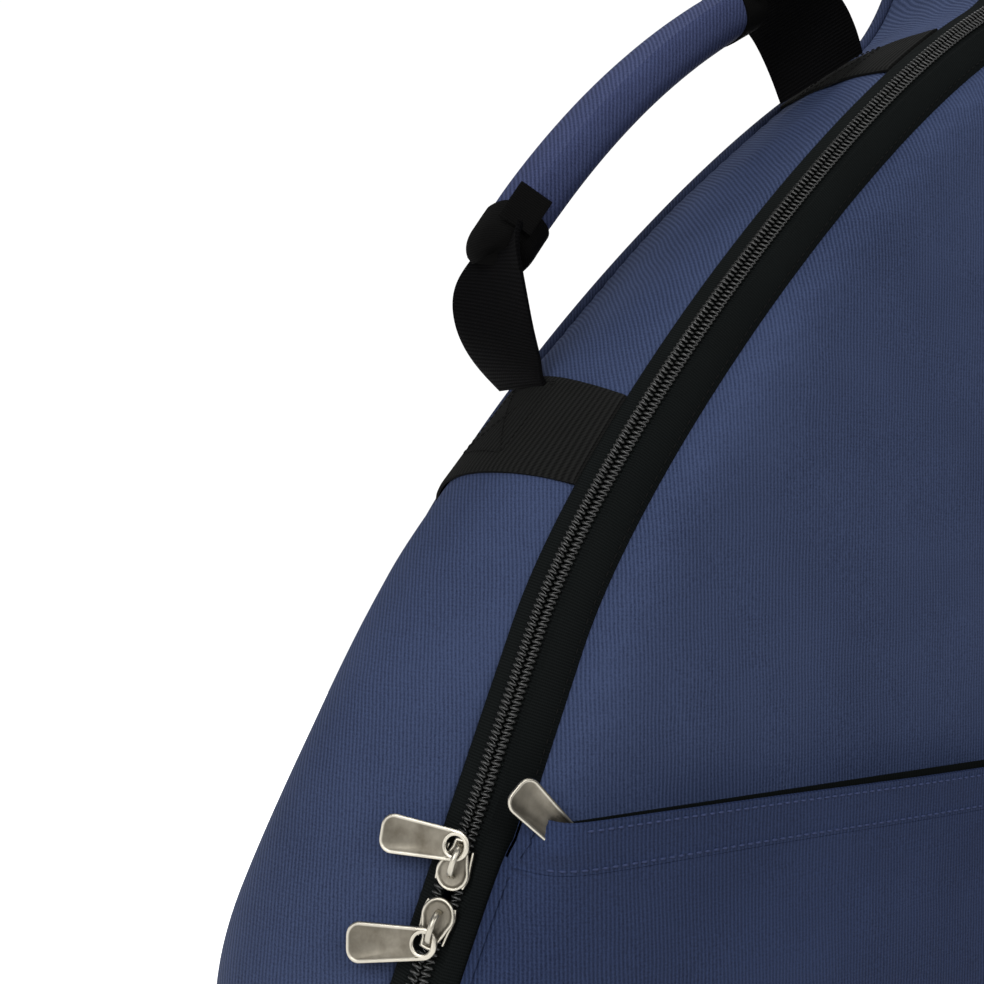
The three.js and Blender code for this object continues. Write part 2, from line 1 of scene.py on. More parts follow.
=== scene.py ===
# The looks of a padded gig bag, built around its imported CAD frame.
# Lengths are in millimetres until a mesh is made, and then in metres.
# +Z is up, -Y is the front with the lid, and the origin is under the base.

import math

import bmesh
import bpy
import numpy as np
from mathutils import Matrix, Vector


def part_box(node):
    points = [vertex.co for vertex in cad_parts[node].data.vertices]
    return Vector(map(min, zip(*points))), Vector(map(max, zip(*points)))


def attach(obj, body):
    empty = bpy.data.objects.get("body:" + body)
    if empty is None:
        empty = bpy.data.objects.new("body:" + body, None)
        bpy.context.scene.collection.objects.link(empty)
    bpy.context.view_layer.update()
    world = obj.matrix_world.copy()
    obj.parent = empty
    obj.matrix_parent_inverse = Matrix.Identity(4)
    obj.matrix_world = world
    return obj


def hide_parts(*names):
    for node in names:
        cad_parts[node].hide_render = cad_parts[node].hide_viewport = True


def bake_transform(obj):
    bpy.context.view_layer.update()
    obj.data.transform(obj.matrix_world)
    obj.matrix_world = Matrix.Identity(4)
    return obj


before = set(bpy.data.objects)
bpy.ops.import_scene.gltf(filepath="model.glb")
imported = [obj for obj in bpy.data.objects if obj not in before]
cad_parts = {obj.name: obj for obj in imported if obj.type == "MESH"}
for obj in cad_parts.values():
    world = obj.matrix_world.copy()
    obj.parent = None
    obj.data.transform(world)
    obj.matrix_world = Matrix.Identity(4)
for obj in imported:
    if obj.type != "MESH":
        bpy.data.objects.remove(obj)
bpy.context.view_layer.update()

MM = 0.001

# ---- driving dimensions, as in the CAD model ----

BASE_Z = 20
BASE_FLAT = 80
BOUT_HALF = 222
BOUT_LOW_Z = 150
BOUT_HIGH_Z = 300
NECK_HALF = 64
NECK_Z = 745
HEAD_HALF = 74
HEAD_Z = 985
TOP_Z = 1092

FRONT_Y = -70.5
SIDE_FRONT_Y = -60
BACK_Y = 98
BACK_SLOPE = 0.1
BACK_GAP = 5                   # the side wall ends this far in front of the back panel
SEAM_OUT = 5.3

WALL = 14.7                    # cover, foam and lining of the gusset
FOAM_DEPTH = 11.9              # cover and foam
LINING = 1.8

BULGE_MIN = 3                  # the side wall swells by this at its ends
BULGE_EXTRA = 38.5             # and by this more at BULGE_Z
BULGE_Z = 156
BULGE_REACH = 226
BULGE_BELOW = 114

COIL_WIDE = 4.9
COIL_HIGH = 2.5
COIL_PITCH = 2.5
TAPE = 0.8
TAPE_EDGE_Y = SIDE_FRONT_Y - 0.3
TAPE_FRONT_Y = FRONT_Y - 6.3
PANEL_OUT = -20
PANEL_BACK_Y = -77.3
PANEL_FRONT_Y = -92

POCKET_LOW_Z = 235
POCKET_RISE = 0.35
POCKET_LEFT_X = -202
POCKET_FRONT_Y = -105.2
POCKET_TILT = math.atan(POCKET_RISE)
POCKET_LAP = 8                 # the pocket is sewn over the edge of the binding
POCKET_TAB_EYE = (-194.0, -98.7, 227.6)
POCKET_TAB_AHEAD = (-30.0, 5.5, 14.5)
HEM = 20

WEBBING = 50
BAND_LOW_Z = 387
BAND_HIGH_Z = 638

UPPER_SLIDER_Z = 205
LOWER_SLIDER_Z = 182
SLANT = math.sqrt(0.5)         # the chain faces out at 45 degrees
CHAIN_TOP = 0.3 + COIL_HIGH
SLIDER_LIFT = 0.4
BAIL_MIDDLE = 1.4
BAIL_LEG = 5.9
BAIL_TOP = 2.9

TAB_END = 31
TAB_WIDE_END = 7.5
TAB_WIDE_EYE = 5.9
TAB_THICK = 1.8
EYE = 3.7
EYE_RING = 5.0
EYE_SHIFT = 1.9

HANDLE_Y = -5
STRAP_WIDE = 45
STRAP_THICK = 2.6
GRIP_STEPS = 60
NECK_REST = 18                 # depth of the neck rest

CAMERA_PLACE = (-0.4355, -0.4185, 0.289)
CAMERA_TURN, CAMERA_RISE, CAMERA_ROLL = -26.57, 8.2, 19.2
CAMERA_LENS = 36.6
LIGHTS = [                     # name, place, target, power and size
    ("key", (-1.75, -1.0, 0.85), (-0.22, 0.0, 0.36), 19, 1.0),
    ("fill", (-0.5, -3.0, 1.9), (0.0, 0.0, 0.45), 31, 1.8),
    ("top", (-0.9, 0.5, 3.0), (0, 0, 0.5), 19, 1.4),
    ("back", (1.8, 2.4, 1.8), (0, 0, 0.5), 16, 1.8),
]


# ---- camera ----

def add_camera():
    turn, rise, roll = (math.radians(angle) for angle in (CAMERA_TURN, CAMERA_RISE, CAMERA_ROLL))
    camera = bpy.data.objects.new("camera", bpy.data.cameras.new("camera"))
    bpy.context.collection.objects.link(camera)
    upright = Matrix.Rotation(turn, 4, "Z") @ Matrix.Rotation(math.pi / 2 + rise, 4, "X")
    camera.matrix_world = Matrix.Translation(CAMERA_PLACE) @ upright @ Matrix.Rotation(roll, 4, "Z")
    camera.data.lens = CAMERA_LENS
    camera.data.sensor_width = 36
    camera.data.clip_start = 0.01
    bpy.context.scene.camera = camera


# ---- the zip line ----

def left_half():
    """Points along the left half of the zip line, from the middle of the base to the top."""
    bottom, flat_end = (0, BASE_Z), (-BASE_FLAT, BASE_Z)
    bout_low, bout_high = (-BOUT_HALF, BOUT_LOW_Z), (-BOUT_HALF, BOUT_HIGH_Z)
    shoulder, neck = (-84, 675), (-NECK_HALF, NECK_Z)
    head, top = (-HEAD_HALF, HEAD_Z), (0, TOP_Z)
    runs = [
        (bottom, flat_end),
        (flat_end, (-155, BASE_Z), (-BOUT_HALF, 65), bout_low),
        (bout_low, bout_high),
        (bout_high, (-BOUT_HALF, 390), (-152, 584), shoulder),
        (shoulder, (-71, 692), (-62.7, 714), neck),
        (neck, head),
        (head, (-77, 1058), (-48, TOP_Z), top),
    ]
    return np.concatenate([bezier(run)[:-1] for run in runs] + [[top]])


def bezier(points, steps=120):
    """Points along a straight line or a cubic curve."""
    points = np.asarray(points, float)
    t = np.linspace(0, 1, steps + 1)[:, None]
    if len(points) == 2:
        return points[0] + (points[1] - points[0]) * t
    a, b, c, d = points
    return a * (1 - t) ** 3 + 3 * b * t * (1 - t) ** 2 + 3 * c * t**2 * (1 - t) + d * t**3


def unit(vectors):
    """Rows of an array, each made one long."""
    return vectors / np.linalg.norm(vectors, axis=1)[:, None]


def run_along(points):
    """How far along a run of points each one is."""
    return np.concatenate([[0], np.cumsum(np.linalg.norm(np.diff(points, axis=0), axis=1))])


def squarer(wave, power):
    """A sine or a cosine with flatter tops, for sections between a circle and a square."""
    return np.sign(wave) * np.abs(wave) ** power


LINE = left_half()
LENGTHS = run_along(LINE)
HALF = LENGTHS[-1]
TANGENT = unit(np.gradient(LINE, LENGTHS, axis=0))


def along_line(s, values):
    """values of the left half, read at stations s: left is positive, right negative."""
    s = (np.asarray(s, float) + HALF) % (2 * HALF) - HALF
    return np.interp(np.abs(s), LENGTHS, values), np.where(s < 0, -1.0, 1.0)


def height(s):
    return along_line(s, LINE[:, 1])[0]


def beside(s, out, y):
    """Points `out` from the zip line at stations s, at depth y."""
    x, side = along_line(s, LINE[:, 0])
    nx, _ = along_line(s, -TANGENT[:, 1])
    nz, _ = along_line(s, TANGENT[:, 0])
    s, out, y = np.broadcast_arrays(s, out, y)
    return np.stack([(x + nx * out) * side, y, height(s) + nz * out], axis=-1)


def station_at(z):
    """Station on the left side at which the line reaches height z."""
    return float(np.interp(z, LINE[:, 1], LENGTHS))


def stations(start, end, step):
    count = max(2, int(abs(end - start) / step) + 1)
    return np.linspace(start, end, count)


def ring_stations(count):
    return np.linspace(-HALF, HALF, count, endpoint=False)


def back_y(z):
    return BACK_Y - BACK_SLOPE * z


def bulge(z):
    """How far the padded gusset swells: most at the wide bout, and little at the base."""
    above = ((z - BULGE_Z) / BULGE_REACH) ** 2
    below = ((BULGE_Z - z) / BULGE_BELOW) ** 4
    return BULGE_MIN + BULGE_EXTRA * np.exp(-np.where(z > BULGE_Z, above, below))


def on_gusset(s, over, q):
    """On the gusset: q runs from -1 at its front edge to 1 at the back, `over` stands off it."""
    z = height(s)
    rear = back_y(z) - BACK_GAP
    y = SIDE_FRONT_Y + (rear - SIDE_FRONT_Y) * (q + 1) / 2
    return beside(s, SEAM_OUT + bulge(z) * (1 - q * q) + over, y)


def on_zip(s, across, up):
    """Beside the chain: across is towards the gusset, up is off the tape, at 45 degrees."""
    return beside(s, (across + up) * SLANT, FRONT_Y + (across - up) * SLANT)


def ripple(u, v, size, seed):
    """Smooth unevenness of cloth, about -1 to 1, that varies over `size` of u and v."""
    draw = np.random.default_rng(seed)
    count = 7
    total = 0
    for _ in range(count):
        angle, phase = draw.uniform(0, 2 * math.pi, 2)
        pitch = size * draw.uniform(0.6, 1.8)
        total = total + np.sin((u * math.cos(angle) + v * math.sin(angle)) * 2 * math.pi / pitch + phase)
    return total / math.sqrt(count) / 1.4


# ---- meshes ----

def finish_mesh(name, mesh, look, body, nodes, sharp=40):
    """Links a mesh as a piece of the object, and hides the CAD parts that it stands for."""
    mesh.name = name
    for polygon in mesh.polygons:
        polygon.use_smooth = True
    if sharp:
        mesh.set_sharp_from_angle(angle=math.radians(sharp))
    mesh.materials.append(look)
    piece = bpy.data.objects.new(name, mesh)
    bpy.context.collection.objects.link(piece)
    if isinstance(body, str):
        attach(piece, body)
    else:
        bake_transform(piece)
    if nodes:
        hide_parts(*nodes)
    return piece


def new_mesh(points, faces):
    """A mesh from points in millimetres."""
    mesh = bpy.data.meshes.new("piece")
    mesh.from_pydata((np.asarray(points) * MM).tolist(), [], faces)
    return mesh


def grid_faces(rows, columns, closed_rows, closed_columns):
    row = np.arange(rows if closed_rows else rows - 1)
    column = np.arange(columns if closed_columns else columns - 1)
    i, j = np.meshgrid(row, column, indexing="ij")
    i2, j2 = (i + 1) % rows, (j + 1) % columns
    quads = np.stack([i * columns + j, i * columns + j2, i2 * columns + j2, i2 * columns + j], -1)
    steps = np.stack([np.stack([i, j], -1), np.stack([i, j + 1], -1),
                      np.stack([i + 1, j + 1], -1), np.stack([i + 1, j], -1)], -2)
    return quads.reshape(-1, 4), steps.reshape(-1, 4, 2)


def loft(rings, closed=False):
    """A skin over closed sections. Its UV is the length along and the length around, in metres."""
    rings = np.asarray(rings, float)
    rows, columns = rings.shape[:2]
    quads, steps = grid_faces(rows, columns, closed, True)
    ahead = np.linalg.norm(np.diff(rings, axis=0), axis=2).mean(axis=1)
    round_ = np.linalg.norm(np.diff(rings, axis=1), axis=2).mean(axis=0)
    u = np.concatenate([[0], np.cumsum(ahead)]) * MM
    v = np.concatenate([[0], np.cumsum(round_)]) * MM
    u = np.append(u, u[-1] + u[1])
    v = np.append(v, v[-1] + v[1])
    faces = quads.tolist()
    uv = np.stack([u[steps[..., 0]], v[steps[..., 1]]], -1).reshape(-1, 2)
    if not closed:
        first = list(range(columns))
        last = [(rows - 1) * columns + k for k in reversed(range(columns))]
        faces += [first, last]
        uv = np.concatenate([uv, np.tile([[u[0], 0]], (columns, 1)), np.tile([[u[-2], 0]], (columns, 1))])
    mesh = new_mesh(rings.reshape(-1, 3), faces)
    layer = mesh.uv_layers.new(name="UVMap")
    layer.data.foreach_set("uv", uv.astype(np.float32).ravel())
    face_out(mesh)
    return mesh


def face_out(mesh, merge=0.0):
    bm = bmesh.new()
    bm.from_mesh(mesh)
    if merge:
        bmesh.ops.remove_doubles(bm, verts=bm.verts, dist=merge)
    bmesh.ops.recalc_face_normals(bm, faces=bm.faces)
    bm.to_mesh(mesh)
    bm.free()


def two_sided(front, back, quads, rim):
    """A pad from two like grids of points, joined round their rim."""
    count = front.shape[0] * front.shape[1]
    after = np.roll(rim, -1)
    side = np.stack([rim, after, after + count, rim + count], -1)
    points = np.concatenate([front.reshape(-1, 3), back.reshape(-1, 3)])
    return new_mesh(points, np.concatenate([quads, quads[:, ::-1] + count, side]).tolist())


def slab(edge_out, front, back, around=420, inward=26):
    """A closed pad inside the zip line. front and back give y from x, z and the distance to its edge."""
    s = ring_stations(around)[:, None]
    edge = beside(s, edge_out, 0.0)
    spine = edge.copy()
    spine[..., 0] = 0
    spine[..., 2] = np.clip(edge[..., 2], 190, 1000)
    share = (np.linspace(0, 1, inward + 1) ** 1.9)[None, :, None]
    flat = edge * (1 - share) + spine * share
    inset = np.linalg.norm(spine - edge, axis=-1) * share[..., 0]
    x, z = flat[..., 0], flat[..., 2]
    faces = [np.stack([x, depth(x, z, inset), z], -1) for depth in (front, back)]
    quads, _ = grid_faces(around, inward + 1, True, False)
    mesh = two_sided(*faces, quads, np.arange(around) * (inward + 1))
    face_out(mesh, merge=0.00002)
    layer = mesh.uv_layers.new(name="UVMap")
    place = np.empty(len(mesh.vertices) * 3)
    mesh.vertices.foreach_get("co", place)
    place = place.reshape(-1, 3)
    corner = np.empty(len(mesh.loops), int)
    mesh.loops.foreach_get("vertex_index", corner)
    layer.data.foreach_set("uv", place[corner][:, [0, 2]].astype(np.float32).ravel())
    return mesh


def tube(path, radius, sides, closed=False):
    """A round cord along a path of points."""
    path = np.asarray(path, float)
    if closed:
        ahead = np.roll(path, -1, 0) - np.roll(path, 1, 0)
    else:
        ahead = np.gradient(path, axis=0)
    ahead = unit(ahead)
    side = unit(np.cross(ahead, [0.0, 1.0, 0.001]))
    other = np.cross(ahead, side)
    angle = np.linspace(0, 2 * math.pi, sides, endpoint=False)[None, :, None]
    radius = np.broadcast_to(np.asarray(radius, float), (len(path),))[:, None, None]
    rings = path[:, None] + radius * (np.cos(angle) * side[:, None] + np.sin(angle) * other[:, None])
    return loft(rings, closed=closed)


def box_section(wide, thick, round_off=0.5):
    """A strap's section: a flat bar with rounded long edges, across it and through it."""
    half, low = wide / 2, thick / 2
    cut = min(round_off, low * 0.9)
    row = np.linspace(-half + cut, half - cut, 9)
    top = [(a, low) for a in row]
    part = cut * 0.3
    right = [(half - part, low - part), (half, low - cut), (half, -low + cut), (half - part, -low + part)]
    bottom = [(-a, -b) for a, b in top]
    left = [(-a, -b) for a, b in right]
    return np.array(top + right + bottom + left)


def strap(path, across, section):
    """A flat strap along a path. across gives the width direction at each point of it."""
    path, across = np.asarray(path, float), np.asarray(across, float)
    ahead = np.gradient(path, axis=0)
    across = unit(np.broadcast_to(across, path.shape))
    off = unit(np.cross(ahead, across))
    section = np.asarray(section, float)
    if section.ndim == 2:
        section = np.broadcast_to(section, (len(path), *section.shape))
    return loft(path[:, None] + section[..., :1] * across[:, None] + section[..., 1:] * off[:, None])


def along_run(run, values, place):
    """The values at one place along a run of points."""
    return np.array([np.interp(place, run, values[:, k]) for k in range(3)])


def stitches(name, rows, look, body, length, gap, radius):
    """Rows of thread. Each row is (points, outward direction)."""
    angle = np.linspace(0, 2 * math.pi, 6, endpoint=False)
    vertices, faces = [], []
    for points, out in rows:
        points = np.asarray(points, float)
        out = np.broadcast_to(np.asarray(out, float), points.shape)
        run = run_along(points)
        starts = np.arange(gap, run[-1] - length, length + gap)
        for start in starts:
            ends = [along_run(run, points, place) for place in (start, start + length)]
            up = along_run(run, out, start)
            up /= np.linalg.norm(up)
            ahead = ends[1] - ends[0]
            side = np.cross(ahead, up)
            side /= np.linalg.norm(side)
            base = len(vertices)
            for share, size, lift in ((0, 0.25, -0.25), (0.25, 1, 0.1), (0.75, 1, 0.1), (1, 0.25, -0.25)):
                middle = ends[0] + ahead * share + up * radius * lift
                for a in angle:
                    vertices.append(middle + radius * size * (1.25 * side * math.cos(a) + up * math.sin(a)))
            for ring in range(3):
                for k in range(6):
                    a, b = base + ring * 6 + k, base + ring * 6 + (k + 1) % 6
                    faces.append((a, b, b + 6, a + 6))
            faces += [tuple(range(base, base + 6)), tuple(range(base + 23, base + 17, -1))]
    mesh = new_mesh(vertices, faces)
    face_out(mesh)
    finish_mesh(name, mesh, look, body, (), sharp=0)


# ---- materials ----

class Look:
    """A material and short ways to add nodes to it."""

    def __init__(self, name, roughness, metallic=0.0, gloss=0.5):
        self.material = bpy.data.materials.new(name)
        self.material.use_nodes = True
        self.tree = self.material.node_tree
        self.shader = self.tree.nodes["Principled BSDF"]
        self.shader.inputs["Roughness"].default_value = roughness
        self.shader.inputs["Metallic"].default_value = metallic
        self.shader.inputs["Specular IOR Level"].default_value = gloss

    def node(self, kind, **settings):
        made = self.tree.nodes.new(kind)
        for key, value in settings.items():
            setattr(made, key, value)
        return made

    def link(self, value, socket):
        if isinstance(value, bpy.types.NodeSocket):
            self.tree.links.new(value, socket)
        else:
            socket.default_value = value

    def math(self, operation, a, b=0.0, c=0.0):
        made = self.node("ShaderNodeMath", operation=operation)
        for value, socket in zip((a, b, c), made.inputs):
            self.link(value, socket)
        return made.outputs[0]

    def coordinates(self, kind="Object"):
        return self.node("ShaderNodeTexCoord").outputs[kind]

    def stripes(self, vector, direction, pitch):
        """0 to 1 and back over each pitch, in metres, along a direction."""
        dot = self.node("ShaderNodeVectorMath", operation="DOT_PRODUCT")
        self.link(vector, dot.inputs[0])
        dot.inputs[1].default_value = Vector(direction).normalized() * (2 * math.pi / pitch)
        wave = self.math("SINE", dot.outputs["Value"])
        return self.math("MULTIPLY_ADD", wave, 0.5, 0.5)

    def noise(self, vector, scale, detail, roughness=0.55):
        made = self.node("ShaderNodeTexNoise")
        self.link(vector, made.inputs["Vector"])
        made.inputs["Scale"].default_value = scale
        made.inputs["Detail"].default_value = detail
        made.inputs["Roughness"].default_value = roughness
        return made.outputs[0]

    def spread(self, value, low, high, to_low=0.0, to_high=1.0):
        made = self.node("ShaderNodeMapRange")
        for v, k in zip((value, low, high, to_low, to_high), range(5)):
            self.link(v, made.inputs[k])
        return made.outputs[0]

    def blend(self, share, dark, light):
        made = self.node("ShaderNodeMix", data_type="RGBA")
        self.link(share, made.inputs["Factor"])
        self.link(dark, made.inputs["A"])
        self.link(light, made.inputs["B"])
        return made.outputs["Result"]

    def colour(self, value):
        self.link(value, self.shader.inputs["Base Color"])

    def rough(self, value):
        self.link(value, self.shader.inputs["Roughness"])

    def bump(self, height_, distance, strength):
        made = self.node("ShaderNodeBump")
        made.inputs["Distance"].default_value = distance
        made.inputs["Strength"].default_value = strength
        self.link(height_, made.inputs["Height"])
        self.tree.links.new(made.outputs[0], self.shader.inputs["Normal"])

    def sheen(self, weight, tint):
        self.shader.inputs["Sheen Weight"].default_value = weight
        self.shader.inputs["Sheen Roughness"].default_value = 0.4
        self.shader.inputs["Sheen Tint"].default_value = tint


def rgb(red, green, blue):
    return (red, green, blue, 1.0)


def woven(name, dark, light, rib=0.0017):
    """Coated polyester: slanting ribs over finer threads, paler where the cloth is rubbed."""
    look = Look(name, 0.8, gloss=0.15)
    place = look.coordinates()
    bent = look.node("ShaderNodeVectorMath", operation="MULTIPLY_ADD")
    look.link(look.noise(place, 22, 2.0), bent.inputs[0])
    bent.inputs[1].default_value = (0.0045, 0.0045, 0.0045)
    look.link(place, bent.inputs[2])
    place_bent = bent.outputs["Vector"]
    ribs = look.stripes(place_bent, (0.82, -0.46, 0.33), rib)
    cross = look.stripes(place_bent, (-0.35, 0.03, 0.93), 0.0016)
    grain = look.noise(place, 1500, 2.0)
    cloud = look.noise(place, 9, 3.0)
    weave = look.math("MULTIPLY_ADD", cross, 0.12, look.math("MULTIPLY", ribs, 0.78))
    tone = look.math("MULTIPLY_ADD", grain, 0.7, look.math("MULTIPLY", weave, 0.3))
    tone = look.math("MULTIPLY_ADD", cloud, 0.35, look.math("MULTIPLY", tone, 0.8))
    look.colour(look.blend(look.spread(tone, 0.36, 0.72), dark, light))
    look.rough(look.spread(weave, 0, 1, 0.9, 0.7))
    look.bump(look.math("MULTIPLY_ADD", grain, 0.4, weave), 0.00035, 0.8)
    look.sheen(0.04, light)
    return look.material


def ribbed(name, dark, light, pitch, along_u=True, depth=0.0005):
    """Webbing or tape: ribs across its length over fine diagonal threads, by its UV."""
    look = Look(name, 0.85, gloss=0.05)
    place = look.coordinates("UV")
    direction = (1, 0, 0) if along_u else (0, 1, 0)
    other = (0, 1, 0) if along_u else (1, 0, 0)
    ribs = look.stripes(place, direction, pitch)
    slant = look.stripes(place, (0.7, 0.7, 0), pitch * 0.55)
    threads = look.stripes(place, other, 0.0009)
    fuzz = look.noise(place, 1500, 2.0)
    cloud = look.noise(place, 25, 2.0)
    weave = look.math("MULTIPLY_ADD", slant, 0.25, look.math("MULTIPLY", ribs, 0.6))
    weave = look.math("MULTIPLY_ADD", threads, 0.15, weave)
    tone = look.math("MULTIPLY_ADD", fuzz, 0.35, look.math("MULTIPLY", weave, 0.6))
    tone = look.math("MULTIPLY_ADD", cloud, 0.2, tone)
    look.colour(look.blend(look.spread(tone, 0.15, 0.95), dark, light))
    look.rough(look.spread(weave, 0, 1, 0.95, 0.68))
    look.bump(look.math("MULTIPLY_ADD", fuzz, 0.2, weave), depth, 0.7)
    look.sheen(0.03, light)
    return look.material


def moulded(name, dark, light, roughness, grain_scale=900):
    """Moulded nylon, acetal or rubber with a fine grain and rubbed edges."""
    look = Look(name, roughness)
    place = look.coordinates()
    grain = look.noise(place, grain_scale, 3.0)
    cloud = look.noise(place, 60, 3.0)
    edges = look.node("ShaderNodeNewGeometry").outputs["Pointiness"]
    worn = look.spread(edges, 0.5, 0.6)
    tone = look.math("MULTIPLY_ADD", worn, 0.4, look.math("MULTIPLY", cloud, 0.6))
    look.colour(look.blend(tone, dark, light))
    look.rough(look.spread(cloud, 0.3, 0.7, roughness - 0.08, roughness + 0.1))
    look.bump(grain, 0.0001, 0.5)
    return look.material


def aged_nickel():
    """Plated zinc: pale where it is rubbed, brown-grey in its recesses, with fine scratches."""
    look = Look("aged_nickel", 0.35, 1.0)
    place = look.coordinates()
    cloud = look.noise(place, 90, 4.0, 0.6)
    fine = look.noise(place, 2500, 2.0)
    stretched = look.node("ShaderNodeMapping")
    look.link(place, stretched.inputs["Vector"])
    stretched.inputs["Scale"].default_value = (9000, 400, 400)
    scratches = look.noise(stretched.outputs[0], 1.0, 2.0)
    edges = look.node("ShaderNodeNewGeometry").outputs["Pointiness"]
    rubbed = look.spread(edges, 0.47, 0.56)
    rubbed = look.math("MULTIPLY", rubbed, 0.75)
    tone = look.math("MULTIPLY_ADD", look.spread(cloud, 0.3, 0.7), 0.25, rubbed)
    look.colour(look.blend(tone, rgb(0.1, 0.088, 0.068), rgb(0.5, 0.47, 0.4)))
    look.rough(look.math("MULTIPLY_ADD", scratches, 0.16, look.spread(tone, 0, 1, 0.42, 0.2)))
    look.bump(look.math("MULTIPLY_ADD", scratches, 0.5, fine), 0.00004, 0.6)
    return look.material


NAVY = woven("navy_polyester", rgb(0.0155, 0.0245, 0.061), rgb(0.058, 0.083, 0.176))
# A darker copy of the navy cloth, used for the pocket: the extra darkness is painted shade.
POCKET_NAVY_PAINTED_SHADE = woven("pocket_polyester_painted_shade", rgb(0.0095, 0.016, 0.046), rgb(0.034, 0.054, 0.132))
GRIP_NAVY = woven("navy_grip_cloth", rgb(0.015, 0.021, 0.058), rgb(0.064, 0.083, 0.19), rib=0.0019)
PIPING = woven("edge_cord", rgb(0.012, 0.018, 0.042), rgb(0.04, 0.055, 0.12), rib=0.0017)
BLACK = (rgb(0.0013, 0.0014, 0.0014), rgb(0.0195, 0.0198, 0.019))
DEEP_BLACK = (rgb(0.0003, 0.0003, 0.0004), rgb(0.003, 0.0029, 0.0034))
BAND_WEB = ribbed("band_webbing", *BLACK, pitch=0.003, along_u=False)
STRAP_WEB = ribbed("strap_webbing", *DEEP_BLACK, pitch=0.0019)
TAPE_BLACK = (rgb(0.0012, 0.0018, 0.0018), rgb(0.0095, 0.0115, 0.0115))
BINDING_BLACK = (rgb(0.0004, 0.0004, 0.0004), rgb(0.004, 0.0039, 0.0038))
# Navy thread for the pocket hem, paler than the cloth: partly its own colour, partly a painted highlight on
# the folded hem.
HEM_THREAD_WITH_PAINTED_HIGHLIGHT = (rgb(0.03, 0.042, 0.1), rgb(0.08, 0.105, 0.22))
ZIP_TAPE = ribbed("zip_tape", *TAPE_BLACK, pitch=0.0012, depth=0.0002)
BINDING = ribbed("binding_tape", *BINDING_BLACK, pitch=0.0011, depth=0.0002)
THREAD_BLACK = ribbed("black_thread", *BLACK, pitch=0.0006, depth=0.0001)
THREAD_NAVY = ribbed("navy_thread_with_painted_highlight", *HEM_THREAD_WITH_PAINTED_HIGHLIGHT, pitch=0.0006, depth=0.0001)
LINING_CLOTH = woven("lining_cloth", rgb(0.012, 0.014, 0.017), rgb(0.04, 0.045, 0.052), rib=0.002)
COIL = moulded("coil_nylon", rgb(0.0022, 0.0025, 0.0023), rgb(0.011, 0.012, 0.011), 0.24)
RUBBER = moulded("bumper_rubber", rgb(0.004, 0.004, 0.004), rgb(0.018, 0.018, 0.018), 0.7, 500)
ACETAL = moulded("buckle_acetal", rgb(0.004, 0.004, 0.0045), rgb(0.016, 0.016, 0.017), 0.42)
NICKEL = aged_nickel()


# ---- shell ----

def gusset_panel(name, start, end, nodes):
    """One padded panel of the side wall: cloth outside, foam under it, seams at both ends."""
    s = stations(start, end, 5)[:, None]
    q = np.linspace(-1, 1, 27)[None, :]
    from_end = np.minimum(np.abs(s - start), np.abs(s - end))
    from_side = (1 - np.abs(q)) * 60
    tuck = 1.6 * np.exp(-from_end / 2.5) + 1.5 * np.exp(-from_side / 2.0)
    pucker = 0.5 * np.sin(s * 2 * math.pi / 11 + 3 * np.sin(s / 37)) * np.exp(-from_side / 7)
    soft = ripple(s, q * 70, 95, 3) * 1.1 * (1 - q**4)
    outer = on_gusset(s, soft + pucker - tuck, q)
    inner = on_gusset(s, -FOAM_DEPTH, np.linspace(1, -1, 7)[None, :])
    mesh = loft(np.concatenate([outer, inner], axis=1))
    finish_mesh(name, mesh, NAVY, "bag", nodes)


def add_gusset():
    low, high = station_at(70), station_at(1050)
    top = 2 * HALF - high
    gusset_panel("gusset_bottom", -low + 0.3, low - 0.3, ["gusset_bottom_cover", "gusset_bottom_foam"])
    gusset_panel("gusset_left", low, high, ["gusset_left_cover", "gusset_left_foam"])
    gusset_panel("gusset_right", -high, -low, ["gusset_right_cover", "gusset_right_foam"])
    gusset_panel("gusset_head", high + 0.3, top - 0.3, ["gusset_head_cover", "gusset_head_foam"])


def add_gusset_lining():
    s = ring_stations(460)[:, None]
    q = np.linspace(-0.985, 0.985, 15)[None, :]
    quilt = 0.4 * np.sin(s * 2 * math.pi / 60) * (1 - q**2)
    inner = on_gusset(s, -WALL + quilt, q)
    outer = on_gusset(s, -WALL + LINING + quilt, q[:, ::-1])
    mesh = loft(np.concatenate([inner, outer], axis=1), closed=True)
    finish_mesh("gusset_lining_cloth", mesh, LINING_CLOTH, "bag", ["gusset_lining"])


def add_back_panel():
    def cover_front(x, z, inset):
        return back_y(z) - 1.8 - 9.4 * np.clip((inset - 14) / 6, 0, 1)

    def cover_back(x, z, inset):
        quilt = 0.5 * np.exp(-(((inset - 34) / 3.0) ** 2))
        return back_y(z) + 0.6 - 1.6 * np.exp(-inset / 5) - quilt + 0.25 * ripple(x, z, 120, 5) - 0.25

    cover = slab(SEAM_OUT - 3.6, cover_front, cover_back)
    nodes = ["back_panel_cover", "back_panel_foam"]
    finish_mesh("back_panel", cover, NAVY, "bag", nodes)


def add_back_lining():
    def lining_front(x, z, inset):
        return back_y(z) - 13.0 - 0.25 * ripple(x, z, 70, 6) * np.clip(inset / 20, 0, 1)

    def lining_back(x, z, inset):
        return back_y(z) - 11.8 + 0 * x

    lining = slab(SEAM_OUT - WALL - 1, lining_front, lining_back, 300, 20)
    finish_mesh("back_lining", lining, LINING_CLOTH, "bag", ["back_panel_lining"])


def add_back_piping():
    s = ring_stations(560)
    path = beside(s, SEAM_OUT - 0.6, back_y(height(s)) - 1.4)
    piping = tube(path, 3.6, sides=12, closed=True)
    finish_mesh("back_seam_piping", piping, PIPING, "bag", ["back_piping"])


# ---- main zip ----

HINGE_LOW = station_at(BOUT_LOW_Z + 2)
HINGE_HIGH = station_at(BOUT_HIGH_Z - 2)


